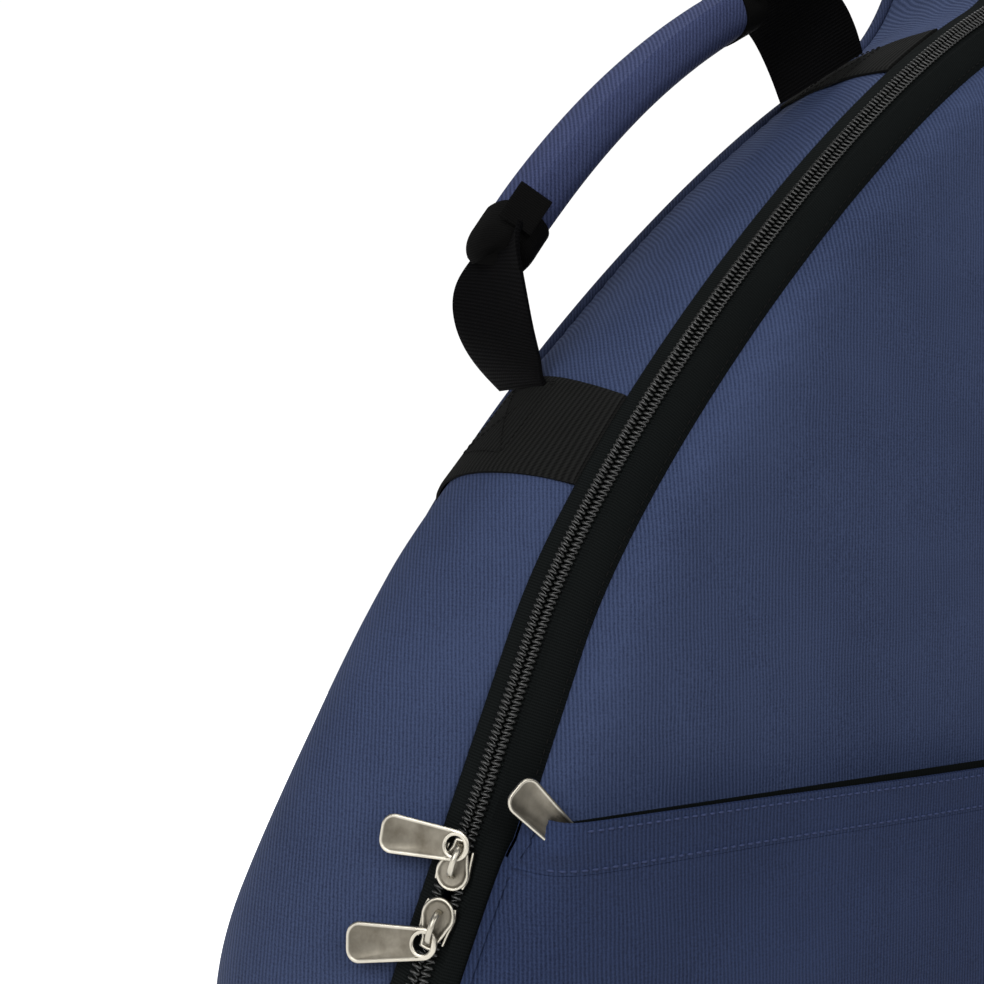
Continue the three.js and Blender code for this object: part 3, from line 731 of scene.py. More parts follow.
def parted(s):
    """How far each half of the chain stands from its middle: it is open between the sliders."""
    z = height(s)
    left = along_line(s, LENGTHS)[1] > 0
    middle = (UPPER_SLIDER_Z + LOWER_SLIDER_Z) / 2
    return np.where(left & (z > 150) & (z < 240), 1.5 * np.exp(-(((z - middle) / 7) ** 4)), 0)


def zip_tape(name, section, node, body):
    s = stations(-HINGE_LOW + 0.3, 2 * HALF - HINGE_HIGH - 0.3, 4)[:, None]
    rings = section(s, parted(s))
    finish_mesh(name, loft(rings), ZIP_TAPE, body, [node])


def tape_section(points):
    """A tape's sections, from its points.

    A "zip" point is (across, up) from the chain's middle, and a "flat" one (out, y) from the zip line.
    """
    def build(s, apart):
        columns = []
        for kind, a, b in points:
            if kind == "zip":
                columns.append(on_zip(s, a + math.copysign(1, a) * apart, b))
            else:
                columns.append(beside(s, a, b + 0 * s))
        return np.concatenate(columns, axis=1)
    return build


def zip_coil(name, sign, node, body):
    """One half of the chain: a flattened coil of nylon wire, half a turn behind the other half."""
    turn = 11
    wire = 0.7
    start, end = -HINGE_LOW + 2, 2 * HALF - HINGE_HIGH - 2
    count = int((end - start) / COIL_PITCH * turn)
    turned = np.arange(count) * 2 * math.pi / turn
    s = start + turned * COIL_PITCH / (2 * math.pi) + (COIL_PITCH / 2 if sign > 0 else 0)
    apart = parted(s) * 1.25 - 0.35
    reach, rise = COIL_WIDE / 2 - wire, COIL_HIGH / 2 - wire + 0.15
    cosine, sine = np.cos(turned), np.sin(turned)
    across = sign * (apart + COIL_WIDE / 2 + reach * squarer(cosine, 0.75))
    up = 0.3 + COIL_HIGH / 2 + rise * sine
    # Heads at the middle lean towards the head end, so that the rows look like chevrons.
    s = s + 0.6 * cosine
    angle = np.linspace(0, 2 * math.pi, 5, endpoint=False)[None, :]
    length = np.hypot(cosine * rise, sine * reach) + 1e-6
    out_across, out_up = sign * cosine * rise / length, sine * reach / length
    rings = on_zip(s[:, None] + wire * np.sin(angle),
                   across[:, None] + wire * np.cos(angle) * out_across[:, None],
                   up[:, None] + wire * np.cos(angle) * out_up[:, None])
    finish_mesh(name, loft(rings), COIL, body, [node], sharp=0)


def add_main_zip():
    edge = TAPE_EDGE_Y
    outer = tape_section([
        ("flat", SEAM_OUT + 0.6, edge), ("flat", SEAM_OUT + 0.9, edge - 2.2),
        ("flat", SEAM_OUT - 0.6, edge - 4.5),
        ("zip", 5.4, 0.05), ("zip", 0.3, 0), ("zip", 0.3, -TAPE), ("zip", 5.4, -TAPE),
        ("flat", SEAM_OUT - 1.4, edge)])
    inner = tape_section([
        ("zip", -0.3, 0), ("zip", -COIL_WIDE - 0.9, 0.1), ("zip", -COIL_WIDE - 2.6, 1.2),
        ("flat", -9, TAPE_FRONT_Y - 1.0), ("flat", -13, TAPE_FRONT_Y - 1.5),
        ("flat", -17, TAPE_FRONT_Y - 1.2), ("flat", -21.5, TAPE_FRONT_Y - 0.2),
        ("flat", -24, TAPE_FRONT_Y), ("flat", -24, TAPE_FRONT_Y + TAPE), ("flat", -10, TAPE_FRONT_Y + TAPE),
        ("zip", -COIL_WIDE - 0.8, -TAPE), ("zip", -0.3, -TAPE)])
    zip_tape("outer_zip_tape", outer, "zip_tape_outer", "bag")
    zip_tape("inner_zip_tape", inner, "zip_tape_inner", "lid")
    zip_coil("outer_zip_coil", 1, "zip_coil_outer", "bag")
    zip_coil("inner_zip_coil", -1, "zip_coil_inner", "lid")


def add_hinge_strip():
    """The cloth that the lid turns on, bent round from the side wall to the lid."""
    s = stations(-HINGE_HIGH, -HINGE_LOW, 4)[:, None]
    edge = TAPE_EDGE_Y
    bend = [(SEAM_OUT + 0.6, edge), (SEAM_OUT - 1.5, FRONT_Y + 5), (SEAM_OUT - 5, FRONT_Y - 0.6),
            (SEAM_OUT - 12, TAPE_FRONT_Y + 2.4), (PANEL_OUT + 1, TAPE_FRONT_Y + 0.8),
            (PANEL_OUT + 1, TAPE_FRONT_Y + 1.6), (SEAM_OUT - 12, TAPE_FRONT_Y + 3.3),
            (SEAM_OUT - 6, FRONT_Y + 0.8), (SEAM_OUT - 2.6, FRONT_Y + 5.6), (SEAM_OUT - 1.4, edge)]
    rings = np.concatenate([beside(s, out, y + 0 * s) for out, y in bend], axis=1)
    crossing = ("bag", "lid", (0.2273, -0.0606, 0.225), (0.204, -0.076, 0.225))
    strip = loft(rings)
    finish_mesh("lid_hinge_strip", strip, BINDING, crossing, ["lid_hinge_cloth"])


# ---- sliders and pull tabs ----

def slider_frame(z, turned):
    """X up along the zip, Y across it towards the gusset, Z off its face."""
    along, across, off = Vector((0, 0, 1)), Vector((-SLANT, SLANT, 0)), Vector((-SLANT, -SLANT, 0))
    turn = Matrix((along, across, off)).transposed().to_4x4()
    place = Vector((-BOUT_HALF, FRONT_Y, z)) + off * CHAIN_TOP
    return Matrix.Translation(place) @ turn @ Matrix.Rotation(math.pi if turned else 0, 4, "Z")


def placed(points, matrix):
    points = np.asarray(points, float)
    turn, shift = np.array(matrix.to_3x3()), np.array(matrix.translation)
    return points @ turn.T + shift


def inward_of(outline):
    """The way in from each point of a closed outline."""
    ahead = unit(np.roll(outline, -1, 0) - np.roll(outline, 1, 0))
    return np.stack([-ahead[:, 1], ahead[:, 0]], -1)


def plate_rings(outline, levels):
    """A plate with a shaped rim: each level is (inset, height), from its underside to its top middle."""
    inward = inward_of(outline)
    flat = [(outline + inward * inset, np.full(len(outline), h)) for inset, h in levels]
    return np.array([np.column_stack(level) for level in flat])


def even_outline(points, count):
    """The same closed outline as evenly spaced points."""
    points = np.asarray(points, float)
    closed = np.vstack([points, points[:1]])
    run = run_along(closed)
    at = np.linspace(0, run[-1], count, endpoint=False)
    return np.column_stack([np.interp(at, run, closed[:, k]) for k in (0, 1)])


def arc(cx, cy, radius, start, end, count=14):
    angle = np.radians(np.linspace(start, end, count))
    return [(cx + radius * math.cos(a), cy + radius * math.sin(a)) for a in angle]


def slider_outline():
    """A drop: round at the tail, waisted, and square at the nose."""
    tail = arc(-3.2, 0, 6.7, 58, 302, 26)
    return [(9.6, -3.2), (10, 0), (9.6, 3.2), (6.2, 3.4), (3.4, 4.7)] + tail + [(3.4, -4.7), (6.2, -3.4)]


def slider_cheeks(name, matrix):
    """The two cheeks that wrap the chain."""
    off = np.array(matrix.to_3x3())[:, 2]
    for side, where in ((-1, "in"), (1, "out")):
        knots = [(-7.5, side * 5.6, 0.6), (-3.5, side * 6.5, 0.3),
                 (1.5, side * 5.7, 0.3), (6.5, side * 5.2, 0.5)]
        steps = np.linspace(0, 3, 12)
        path = np.array([np.interp(steps, range(4), values) for values in zip(*knots)]).T
        cheek = strap(placed(path, matrix), off, box_section(2.2, 0.9, 0.3))
        finish_mesh(f"{name}_cheek_{where}", cheek, NICKEL, name, ())


def slider_bail(name, matrix):
    """The arch that the pull tab hangs in: flat on its legs and thinner over its top."""
    turn = np.linspace(0, math.pi, 25)
    arch = np.column_stack([BAIL_MIDDLE + BAIL_LEG * np.cos(turn), 0 * turn,
                            SLIDER_LIFT + 1.4 + 5.0 * np.sin(turn) ** 0.8])
    half = (1.45 - 0.25 * np.sin(turn))[:, None]
    angle = np.linspace(0, 2 * math.pi, 12, endpoint=False)
    sides = squarer(np.cos(angle), 0.7)
    section = np.stack([half * sides[None, :], 0.75 * np.sin(angle)[None, :] + 0 * half], -1)
    bail = strap(placed(arch, matrix), np.array(matrix.to_3x3())[:, 1], section)
    finish_mesh(f"{name}_arch", bail, NICKEL, name, [f"{name}_bail"], 60)


def add_slider(place, z, turned):
    name = f"slider_{place}"
    matrix = slider_frame(z, turned)
    lift = SLIDER_LIFT
    levels = [(2.5, lift), (0.4, lift), (0, lift + 0.4), (0, lift + 1.5), (0.25, lift + 1.95),
              (0.75, lift + 2.1), (1.15, lift + 1.9), (1.5, lift + 1.3), (2.4, lift + 1.1)]
    rings = plate_rings(even_outline(slider_outline(), 72), levels)
    finish_mesh(name, loft(placed(rings, matrix)), NICKEL, name, [f"{name}_body"], 50)
    slider_cheeks(name, matrix)
    slider_bail(name, matrix)


def tab_outline():
    """A pull tab that points along Y from the middle of its eye."""
    radius = 5.2
    middle = TAB_WIDE_END - radius
    far = TAB_END - radius
    round_end = arc(middle, far, radius, 0, 90) + arc(-middle, far, radius, 90, 180)
    return round_end + arc(0, 0, TAB_WIDE_EYE, 180, 360, 22)


def tab_mesh(matrix):
    """A flat tab with a raised rim, a sunk field and a ringed eye."""
    count = 96
    thick = TAB_THICK
    outline = even_outline(tab_outline(), count)
    direction = np.arctan2(outline[:, 1], outline[:, 0])
    eye = np.column_stack([EYE * np.cos(direction), EYE * np.sin(direction)])
    inward = inward_of(outline)
    field = outline + inward * 1.5
    away = np.linalg.norm(field, axis=1)[:, None]
    ring = np.column_stack([EYE_RING * np.cos(direction), EYE_RING * np.sin(direction)])
    field = np.where(away < EYE_RING + 0.2, ring, field)

    def level(points, h):
        return np.column_stack([points, np.full(count, h)])

    rings = [level(eye, 0.3), level(eye * 1.06, 0), level(outline + inward * 0.35, 0), level(outline, 0.35),
             level(outline, thick - 0.35), level(outline + inward * 0.3, thick),
             level(outline + inward * 1.1, thick),
             level(field, thick - 0.45), level(ring * 1.02, thick - 0.45), level(ring * 0.97, thick + 0.1),
             level(ring * 0.84, thick + 0.15), level(eye, thick - 0.2)]
    return loft(placed(np.array(rings), matrix), closed=True)


def add_tab(place, z, turned, droop):
    matrix = slider_frame(z, turned)
    leg = Matrix.Translation((BAIL_MIDDLE + BAIL_LEG, 0, BAIL_TOP))
    turn = Matrix.Rotation(math.radians(droop + (180 if turned else 0)), 4, "Z")
    mesh = tab_mesh(matrix @ leg @ turn @ Matrix.Translation((0, EYE_SHIFT, 0)))
    finish_mesh(f"tab_{place}", mesh, NICKEL, f"tab_{place}", [f"pull_tab_{place}"], 50)


# ---- lid and pocket ----

def on_pocket_edge(along, up):
    """x and z of a point along the pocket's top edge from its left end and up from it."""
    cosine, sine = math.cos(POCKET_TILT), math.sin(POCKET_TILT)
    along, up = np.broadcast_arrays(np.asarray(along, float), np.asarray(up, float))
    return POCKET_LEFT_X + along * cosine - up * sine, POCKET_LOW_Z + along * sine + up * cosine


def panel_face(x, z, inset):
    """The padded front: it rounds down to its seam, and puckers along it."""
    full = PANEL_BACK_Y - PANEL_FRONT_Y
    rounded = 1 - np.exp(-inset / 7.5)
    pucker = 0.55 * np.sin((z * 0.8 + np.abs(x) * 0.6) * 2 * math.pi / 12 + 2 * np.sin(z / 31))
    pucker = pucker * np.exp(-(((inset - 7) / 7) ** 2))
    soft = 0.9 * ripple(x, z, 150, 11) * np.clip(inset / 40, 0, 1)
    return PANEL_BACK_Y - full * (0.06 + 0.94 * rounded) * 0.97 + pucker + soft + 0.3


def add_front_panel():
    cover = slab(PANEL_OUT, lambda x, z, inset: PANEL_BACK_Y + 0 * x, panel_face, 620, 34)
    panel = finish_mesh("front_panel", cover, NAVY, "lid", ["front_panel_cover"])


def add_lid_lining():
    top = TAPE_FRONT_Y + 3.4

    def lining_back(x, z, inset):
        quilt = 0.7 * np.abs(np.sin(z * math.pi / 90)) ** 0.3
        return top + 9.6 + quilt * np.clip(inset / 15, 0, 1) - 1.2 * np.exp(-inset / 3)

    pad = slab(SEAM_OUT - WALL - 7, lambda x, z, inset: top + 0 * x, lining_back, 300, 20)
    nodes = ["front_panel_foam", "front_panel_lining"]
    finish_mesh("lid_lining", pad, LINING_CLOTH, "lid", nodes)


def pocket_face(x, z, depth, from_side):
    """The pocket's front: sewn down at its sides and base, and slack along its top edge."""
    rise = 3.6 + 11 * (1 - np.exp(-np.maximum(depth - 12, 0) / 25))
    slack = 1 - np.exp(-(from_side + 0.8) / rise)
    sag = 1.2 * ripple(x, z, 130, 21) * np.clip(from_side / 50, 0, 1)
    lean = 1.6 * np.exp(-depth / 22) * slack
    loose = PANEL_BACK_Y - 3.5 - (PANEL_BACK_Y - 3.5 - POCKET_FRONT_Y) * slack - lean + sag * 0.8
    return np.minimum(loose, panel_face(x, z, np.maximum(from_side - POCKET_LAP, 0)) - 2.6)


def pocket_sheet(name, low, high, thick, nodes):
    """A band of the pocket between two distances below its top edge."""
    columns = 240
    rows = 64 if high > HEM else 14
    left = station_at(POCKET_LOW_Z - 2)
    right = station_at(POCKET_LOW_Z + 2 * -POCKET_LEFT_X * POCKET_RISE - 2)
    s = np.linspace(left, -right, columns)
    lower = beside(s, PANEL_OUT + POCKET_LAP, 0.0)
    share = np.linspace(0, 1, columns)
    first, last = lower[0], lower[-1]
    upper = first + (last - first) * share[:, None]
    slope = (last[2] - first[2]) / (last[0] - first[0])
    drop = np.linalg.norm(lower - upper, axis=1)
    fall = first[2] + (lower[:, 0] - first[0]) * slope - lower[:, 2]
    fall = np.maximum(fall, 1e-3) * math.cos(POCKET_TILT)
    start, end = np.minimum(low * drop / fall, drop * 0.999), np.minimum(high * drop / fall, drop)
    down = start + (end - start) * (1 - np.linspace(1, 0, rows)[:, None] ** 2)
    point = upper + (lower - upper) * (down / np.maximum(drop, 1e-6))[..., None]
    x, z = point[..., 0], point[..., 2]
    flat = np.stack([x, z], -1)
    rim = np.stack([lower[:, 0], lower[:, 2]], -1)
    distance = np.empty(x.shape)
    for row in range(rows):
        distance[row] = np.sqrt(((flat[row][:, None] - rim[None]) ** 2).sum(-1)).min(axis=1)
    below = first[2] + (x - first[0]) * slope - z
    y = pocket_face(x, z, below, distance)
    outer = np.stack([x, y, z], -1)
    inner = np.stack([x, y + thick, z], -1)[::-1]
    rings = np.concatenate([outer, inner], axis=0).transpose(1, 0, 2)
    return finish_mesh(name, loft(rings), POCKET_NAVY_PAINTED_SHADE, "lid", nodes), point, y


def add_pocket_cloth():
    nodes = ["pocket_panel", "pocket_wall"]
    front, _, _ = pocket_sheet("pocket_front", HEM + 0.2, 400, 2.2, nodes)
    hem, edge, y = pocket_sheet("pocket_top_hem", 0, HEM, 1.9, ["pocket_hem"])
    rows = []
    for depth in (3.0, 18.0):
        row = int(round((1 - math.sqrt(1 - depth / HEM)) * (len(edge) - 1)))
        line = edge[row].copy()
        line[:, 1] = y[row] - 0.25
        rows.append((line[9:-9], (0, -1, 0)))
    stitches("pocket_hem_stitches", rows, THREAD_NAVY, "lid", 3.0, 1.5, 0.42)


def add_pocket_zip():
    """The pocket's zip, on the panel behind its hem."""
    tape_y = PANEL_FRONT_Y - 0.9
    front_y = tape_y - 0.9
    along = np.linspace(4, 398, 100)
    corners = []
    for up, depth in ((-34, tape_y), (-3, tape_y), (-3, front_y), (-34, front_y)):
        x, z = on_pocket_edge(along, up)
        corners.append(np.stack([x, np.full_like(x, depth), z], -1))
    tape = loft(np.stack(corners, 1))
    finish_mesh("pocket_tape", tape, ZIP_TAPE, "lid", ["pocket_zip_tape"])
    turn = 9
    count = int(390 / COIL_PITCH * turn)
    turned = np.arange(count) * 2 * math.pi / turn
    run = 6 + turned * COIL_PITCH / (2 * math.pi) + 0.5 * np.cos(turned)
    x, z = on_pocket_edge(run, -19 + 2.4 * np.cos(turned))
    path = np.stack([x, tape_y - 2.3 + 0.8 * np.sin(turned), z], -1)
    coil = tube(path, 0.45, sides=5)
    finish_mesh("pocket_coil", coil, COIL, "lid", ["pocket_zip_coil"], sharp=0)


def add_pocket_slider():
    low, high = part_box("pocket_slider")
    middle = (Vector(low) + Vector(high)) / 2 / MM
    along = Vector((math.cos(POCKET_TILT), 0, math.sin(POCKET_TILT)))
    off = Vector((0, -1, 0))
    turn = Matrix((along, off.cross(along), off)).transposed().to_4x4()
    matrix = Matrix.Translation((middle.x, high[1] / MM, middle.z)) @ turn @ Matrix.Scale(0.85, 4)
    levels = [(2.5, 0), (0.3, 0), (0, 0.4), (0, 1.6), (0.4, 2), (1, 2.0), (1.4, 1.4)]
    rings = plate_rings(even_outline(slider_outline(), 60), levels)
    body = loft(placed(rings, matrix))
    finish_mesh("pocket_zip_slider", body, NICKEL, "pocket_slider", ["pocket_slider"], 50)


def add_pocket_tab():
    ahead = Vector(POCKET_TAB_AHEAD).normalized()
    off = Vector((0, -1, 0))
    off = (off - ahead * off.dot(ahead)).normalized()
    across = ahead.cross(off)
    turn = Matrix((across, ahead, off)).transposed().to_4x4()
    matrix = Matrix.Translation(POCKET_TAB_EYE) @ turn @ Matrix.Translation((0, EYE_SHIFT, 0))
    mesh = tab_mesh(matrix)
    finish_mesh("tab_pocket", mesh, NICKEL, "pocket_tab", ["pocket_pull_tab"], 50)


# ---- side handle ----

def band(name, z, node, low_end, high_end, drop, rise=0):
    """Webbing sewn across the gusset. Its edges part by `drop` and `rise` towards the back."""
    share = np.linspace(0, 1, 27)[:, None]
    q = np.linspace(-1, 0.985, 60)[None, :]
    start = station_at(z) + low_end - drop * (q + 1) / 2
    end = station_at(z) + high_end + rise * (q + 1) / 2
    s = start + (end - start) * share
    hem = 0.6 * np.exp(-np.minimum(share, 1 - share) * WEBBING / 1.2)
    ease = 0.5 * ripple(s, q * 60, 45, 31) * (1 - q**4)
    top = on_gusset(s, 2.2 - hem + ease, q)
    under = on_gusset(s[:, ::-1], 0.3, q[:, ::-1])
    mesh = loft(np.concatenate([top, under], axis=1))
    finish_mesh(name, mesh, BAND_WEB, "bag", [node])


GRIP_PATH = bezier([(-265, 468), (-249, 536), (-222, 595), (-184, 646)], GRIP_STEPS)


def in_plane(path):
    """A path in the handle's own plane."""
    return np.column_stack([path[:, 0], np.full(len(path), HANDLE_Y), path[:, 1]])


def grip_rings(start, end, thick, wide, steps, ends=0.0, seam=0.0, lobes=0.0, soft_end=0.0, angles=None):
    """Sections along the grip, from one share of its length to another.

    `ends` draws both ends in, `seam` raises an overlapped edge, `lobes` lets the start
    sag at both sides and `soft_end` rounds it. `angles` are the places round each section.
    """
    path = in_plane(GRIP_PATH)
    share = np.linspace(start, end, steps)
    at = np.column_stack([np.interp(share * GRIP_STEPS, range(GRIP_STEPS + 1), path[:, k]) for k in range(3)])
    before = np.minimum(share, 0)[:, None] * GRIP_STEPS
    at = at + before * (path[1] - path[0])
    ahead = unit(np.gradient(at, axis=0))
    side = np.cross(ahead, [0, 1.0, 0])
    angle = np.linspace(0, 2 * math.pi, 48, endpoint=False) if angles is None else np.array(angles)
    a, b = squarer(np.cos(angle), 0.82), squarer(np.sin(angle), 0.82)
    from_end = np.minimum(share - start, end - share) / max(end - start, 1e-6)
    shrink = 1 - ends * np.exp(-from_end * 30)
    if soft_end:
        from_start = np.clip((share - start) / soft_end, 0, 1)
        shrink = shrink * (0.45 + 0.55 * np.sqrt(1 - (1 - from_start) ** 2))
    turn = (np.degrees(angle) + 100) % 360
    lap = 1 + seam / (thick / 2) * np.clip(turn / 40, 0, 1) * (turn < 40)
    reach = side[:, None] * (a * lap)[None, :, None] * thick / 2
    reach = reach + np.array([0, 1.0, 0]) * (b * lap)[None, :, None] * wide / 2
    rings = at[:, None] + reach * shrink[:, None, None]
    sag = lobes * np.exp(-(share - start) / 0.03)[:, None] * (np.cos(angle) ** 2 - 0.4)[None, :]
    return rings - ahead[:, None] * sag[..., None]


def add_grip():
    grip = grip_rings(0.03, 0.93, 26, 37, 80, ends=0.05, seam=0.9)
    cover = loft(grip)
    piece = finish_mesh("grip", cover, GRIP_NAVY, "handle", ["handle_grip_cover"])
    low = loft(grip_rings(-0.07, 0.045, 29, 40, 30, lobes=9, soft_end=0.055))
    finish_mesh("grip_end_low", low, BINDING, "handle", ["handle_end_lower"])
    high = loft(grip_rings(0.91, 1.0, 27.5, 38.5, 12, ends=0.12))
    finish_mesh("grip_end_high", high, BINDING, "handle", ["handle_end_upper"])
    # A square keeper of tape is sewn over the lower end, where the strap comes out.
    path, out = grip_line(-0.012, 0.082, 30.5, 41.5)
    keeper = strap(path, np.cross(path[-1] - path[0], out), box_section(17, 2.2))
    finish_mesh("grip_keeper", keeper, BINDING, "handle", ())


def grip_line(start, end, thick, wide):
    """A line along the grip's outside, on the side that faces forward, and the way it faces."""
    turn = math.radians(-70)
    path = grip_rings(start, end, thick, wide, 14, angles=[turn])[:, 0]
    centre = grip_rings(start, end, thick, wide, 14, angles=[turn, turn + math.pi]).mean(axis=1)
    return path, (path - centre).mean(axis=0)


def handle_crossing(foot, grip_x, grip_z):
    """Where a strap leaves the bag and where it reaches the handle, in metres."""
    return (foot[0] * MM, HANDLE_Y * MM, foot[2] * MM), (grip_x, HANDLE_Y * MM, grip_z)


def add_low_strap():
    """The strap that twists from the lower band up to the grip's slot."""
    foot = on_gusset(station_at(BAND_LOW_Z) + WEBBING / 2 - 6, 3.0, 0.2)
    slot, _ = grip_line(-0.03, 0.0, 30, 41)
    top = slot.mean(axis=0)
    low = bezier([(foot[0], foot[2]), (-246, 420), (-270, 444), (top[0], top[2])], 40)
    share = np.linspace(0, 1, len(low))
    path = in_plane(low)
    path[:, 1] = foot[1] + (top[1] - foot[1]) * share**2.2
    twist = 0.75 * np.sin(share * math.pi) ** 1.5
    across = np.column_stack([-np.sin(twist), np.cos(twist), 0 * twist])
    wide = STRAP_WIDE * (0.98 - 0.5 * share**3)
    curl = 5.0 * share**1.5
    section = []
    for part, depth in zip(wide, curl):
        flat = box_section(part, STRAP_THICK)
        flat[:, 1] += depth * ((flat[:, 0] / (part / 2)) ** 2 - 0.4)
        section.append(flat)
    mesh = strap(path, across, section)
    on_bag, on_grip = handle_crossing(foot, -0.266, 0.445)
    nodes = ["handle_strap_lower", "handle_anchor_lower"]
    finish_mesh("handle_strap_low", mesh, STRAP_WEB, ("bag", "handle", on_bag, on_grip), nodes)


def add_high_strap():
    """The strap that turns from the grip's top end to lie along the upper band."""
    s = station_at(BAND_HIGH_Z) - 2
    foot = on_gusset(s, 3.4, 0.1)
    along = on_gusset(s + 10, 3.4, 0.1) - on_gusset(s - 10, 3.4, 0.1)
    along /= np.linalg.norm(along)
    high = bezier([(-190, 640), (-172, 674), (-146, 668), (foot[0], foot[2])], 40)
    share = np.linspace(0, 1, len(high))[:, None]
    turn = 0.95 * share**1.6
    across = np.array([0, 1.0, 0]) * np.cos(turn) - along * np.sin(turn)
    mesh = strap(in_plane(high), across, box_section(STRAP_WIDE + 4, STRAP_THICK))
    on_bag, on_grip = handle_crossing(foot, -0.184, 0.652)
    nodes = ["handle_strap_upper", "handle_anchor_upper"]
    finish_mesh("handle_strap_high", mesh, STRAP_WEB, ("handle", "bag", on_grip, on_bag), nodes)


# ---- base, head end, inside and back ----

def add_hang_loop():
    middle = (SIDE_FRONT_Y + back_y(TOP_Z)) / 2
    turn = np.linspace(0, math.pi, 40)
    foot = TOP_Z + SEAM_OUT + bulge(TOP_Z) + 0.5
    path = np.column_stack([24.5 * np.cos(turn), np.full(40, middle), foot + 22.5 * np.sin(turn) ** 0.8])
    mesh = strap(path, (0, 1, 0), box_section(25, 2.2))
    finish_mesh("head_loop", mesh, STRAP_WEB, "bag", ["hang_loop"])


def cad_looks():
    """CAD pieces whose shape is right keep it, and take their looks."""
    looks = {"base_bumper": RUBBER, "ladder_lock_left": ACETAL, "ladder_lock_right": ACETAL}
    for node, look in looks.items():
        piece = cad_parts[node]
        piece.data.materials.clear()
        piece.data.materials.append(look)


def inside_back(z):
    return back_y(z) - 13.5


def add_neck_rest():
    """A stuffed rectangle on the back's lining, crowned on its front."""
    rows, columns = 29, 21
    u = np.linspace(-1, 1, rows)[:, None]
    v = np.linspace(-1, 1, columns)[None, :]
    pull = 1 - 0.05 * (u**2) * (v**2)
    x = 44 * u * pull
    z = 840 + 40 * v * pull
    crown = ((1 - np.abs(u) ** 3.2) * (1 - np.abs(v) ** 3.2)) ** 0.45
    front = np.stack([x, inside_back(z) - NECK_REST * (0.08 + 0.92 * crown), z], -1)
    back = np.stack([x, inside_back(z), z], -1)
    quads, _ = grid_faces(rows, columns, False, False)
    grid = np.arange(rows * columns).reshape(rows, columns)
    rim = np.concatenate([grid[:, 0], grid[-1, 1:], grid[-2::-1, -1], grid[0, -2:0:-1]])
    mesh = two_sided(front, back, quads, rim)
    face_out(mesh)
    piece = finish_mesh("neck_rest", mesh, LINING_CLOTH, "bag", ["neck_pillow"], 60)


def add_neck_strap():
    x = np.linspace(-40, 40, 30)
    z = np.full(30, 840.0)
    path = np.column_stack([x, inside_back(z) - 19.2 + 2 * (x / 40) ** 4, z])
    mesh = strap(path, (0, 0, 1), box_section(24, 1.6))
    finish_mesh("neck_rest_strap", mesh, STRAP_WEB, "bag", ["neck_strap"])


def on_back(x, z, off):
    return np.stack([x, back_y(z) + 0.9 + off, z], -1)


def shoulder_pad(side, sign):
    run = bezier([(42 * sign, 610), (45 * sign, 520), (98 * sign, 470), (100 * sign, 345)], 60)
    ahead = unit(np.gradient(run, axis=0))
    across = np.column_stack([ahead[:, 1], -ahead[:, 0]])
    angle = np.linspace(0, 2 * math.pi, 36, endpoint=False)
    a, b = squarer(np.cos(angle), 0.55), squarer(np.sin(angle), 0.8)
    share = np.linspace(0, 1, 61)
    end = np.minimum(share, 1 - share)
    full = 1 - 0.75 * np.exp(-end * 26)
    wide = 30.5 * (1 - 0.12 * np.exp(-end * 14))
    x = run[:, :1] + across[:, :1] * a * wide[:, None]
    z = run[:, 1:] + across[:, 1:] * a * wide[:, None]
    channel = 1 - 0.25 * np.exp(-(((np.abs(a) - 0.72) / 0.09) ** 2))
    pad = loft(on_back(x, z, 6.6 + b * 6.2 * full[:, None] * channel))
    name = f"shoulder_strap_{side}"
    piece = finish_mesh(name, pad, NAVY, "bag", [f"shoulder_pad_{side}"], 60)


def shoulder_webbing(side, sign):
    """The strap below each buckle, and the patch that it is sewn to."""
    tail = np.linspace(0, 1, 30)[:, None]
    ahead = np.array([37.5 * sign, -150.0]) / np.hypot(37.5, 150)
    across = (ahead[1], 0, -ahead[0])
    strips = [
        ("strap_tail", "strap_webbing", (101.5, 312), (139, 162), 0.9, (25, 1.6), STRAP_WEB),
        ("strap_foot", "strap_anchor", (140, 152), (149, 116), 1.6, (44, 2.6), BAND_WEB),
    ]
    for name, node, (x1, z1), (x2, z2), off, section, look in strips:
        line = np.array([x1 * sign, z1]) * (1 - tail) + np.array([x2 * sign, z2]) * tail
        mesh = strap(on_back(line[:, 0], line[:, 1], off), across, box_section(*section))
        finish_mesh(f"{name}_{side}", mesh, look, "bag", [f"{node}_{side}"])


def add_back_carry():
    z = np.linspace(612, 652, 20)
    path = on_back(0 * z, z, 1.5)
    mesh = strap(path, (1, 0, 0), box_section(150, 2.8))
    finish_mesh("strap_top_patch", mesh, BINDING, "bag", ["strap_patch"])
    for side, sign in (("left", -1), ("right", 1)):
        shoulder_pad(side, sign)
        shoulder_webbing(side, sign)


# ---- seams' thread ----

def add_tape_stitches():
    s = stations(-HINGE_LOW + 3, 2 * HALF - HINGE_HIGH - 3, 6)
    tape_row = beside(s, PANEL_OUT + 3.5, TAPE_FRONT_Y - 1.5)
    stitches("tape_stitches", [(tape_row, (0, -1, 0))], THREAD_BLACK, "lid", 2.8, 1.4, 0.25)


def add_band_stitches():
    """A box and a cross of thread on each band, where the handle is sewn down."""
    front, back = -0.3, 0.4
    half = WEBBING / 2 - 4
    corners = [(-1, front), (1, front), (1, back), (-1, back)]
    lines = list(zip(corners, corners[1:] + corners[:1]))
    lines += [(corners[0], corners[2]), (corners[1], corners[3])]
    rows = []
    for z in (BAND_LOW_Z, BAND_HIGH_Z):
        for (a1, q1), (a2, q2) in lines:
            s = station_at(z) + half * np.linspace(a1, a2, 20)
            rows.append((on_gusset(s, 2.6, np.linspace(q1, q2, 20)), (-1, 0, 0.2)))
    stitches("band_stitches", rows, THREAD_BLACK, "bag", 2.6, 1.0, 0.3)


# ---- stage ----

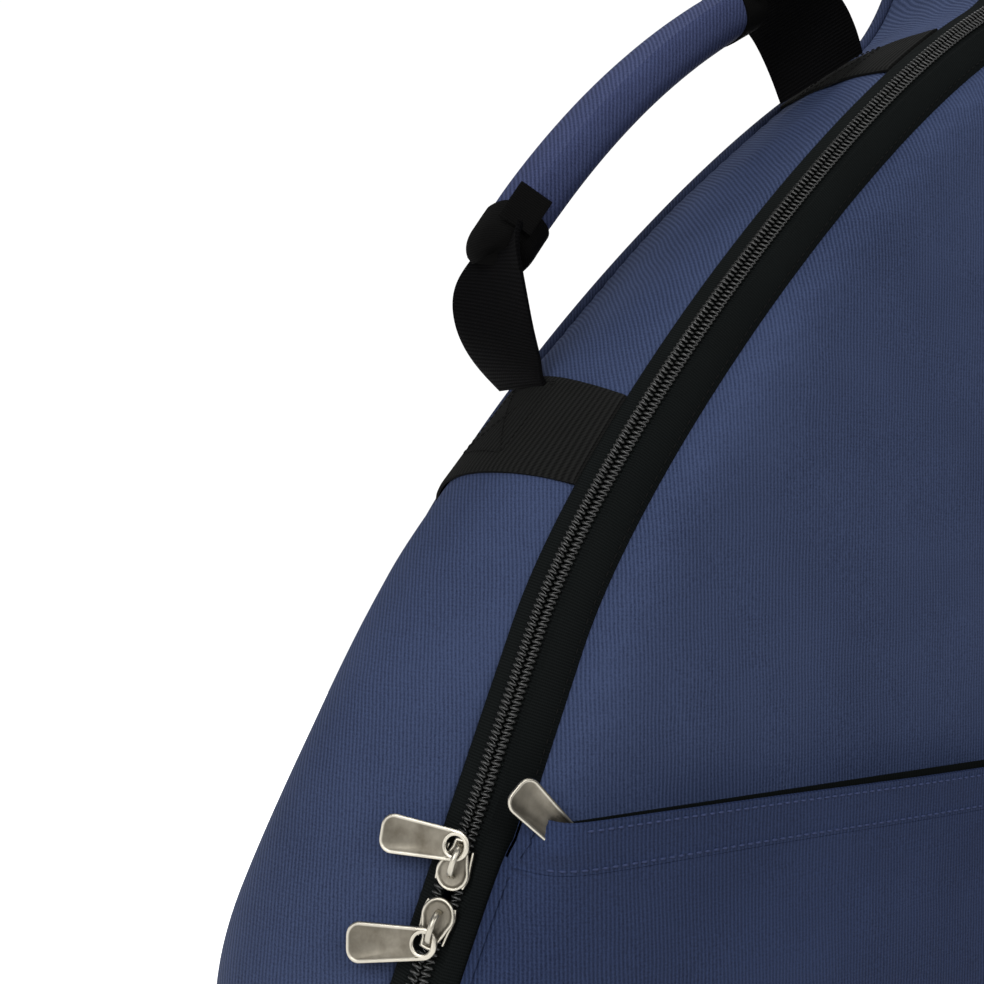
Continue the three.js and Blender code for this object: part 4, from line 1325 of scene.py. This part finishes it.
def add_floor():
    mesh = bpy.data.meshes.new("floor")
    size = 2.4
    corners = [(-size, -size, 0), (size, -size, 0), (size, size, 0), (-size, size, 0)]
    mesh.from_pydata(corners, [], [(0, 1, 2, 3)])
    floor_look = Look("pale_floor", 0.6)
    floor_look.shader.inputs["Base Color"].default_value = rgb(0.92, 0.92, 0.92)
    floor_look.shader.inputs["Emission Color"].default_value = rgb(1, 1, 1)
    floor_look.shader.inputs["Emission Strength"].default_value = 1.0
    mesh.materials.append(floor_look.material)
    floor = bpy.data.objects.new("floor", mesh)
    bpy.context.collection.objects.link(floor)
    floor.visible_diffuse = False


def add_world():
    """A white background to the camera, and a dim grey one to everything else."""
    world = bpy.data.worlds.new("studio")
    bpy.context.scene.world = world
    world.use_nodes = True
    tree = world.node_tree
    shown = tree.nodes.new("ShaderNodeLightPath").outputs["Is Camera Ray"]
    strength = tree.nodes.new("ShaderNodeMapRange")
    tree.links.new(shown, strength.inputs[0])
    strength.inputs[3].default_value = 0.2
    strength.inputs[4].default_value = 1.05
    background = tree.nodes["Background"]
    background.inputs[0].default_value = rgb(1, 1, 1)
    tree.links.new(strength.outputs[0], background.inputs[1])


def add_light(name, place, target, power, size):
    light = bpy.data.lights.new(name, "AREA")
    light.energy = power
    light.size = size
    lamp = bpy.data.objects.new(name, light)
    bpy.context.collection.objects.link(lamp)
    lamp.location = place
    aim = Vector(target) - Vector(place)
    lamp.rotation_euler = aim.to_track_quat("-Z", "Y").to_euler()


add_camera()
add_gusset()
add_gusset_lining()
add_back_panel()
add_back_lining()
add_back_piping()
add_main_zip()
add_hinge_strip()
add_slider("upper", UPPER_SLIDER_Z, False)
add_slider("lower", LOWER_SLIDER_Z, True)
add_tab("upper", UPPER_SLIDER_Z, False, 11)
add_tab("lower", LOWER_SLIDER_Z, True, 21)
add_front_panel()
add_lid_lining()
add_pocket_cloth()
add_pocket_zip()
add_pocket_slider()
add_pocket_tab()
band("lower_side_band", BAND_LOW_Z, "side_band_lower", -WEBBING / 2, WEBBING / 2 - 4, 17, 9)
band("upper_side_band", BAND_HIGH_Z, "side_band_upper", -20, WEBBING / 2, -17)
add_grip()
add_low_strap()
add_high_strap()
add_hang_loop()
cad_looks()
add_neck_rest()
add_neck_strap()
add_back_carry()
add_tape_stitches()
add_band_stitches()
add_floor()
add_world()
for light in LIGHTS:
    add_light(*light)
bpy.context.scene.view_settings.view_transform = "Standard"
bpy.context.scene.view_settings.look = "None"
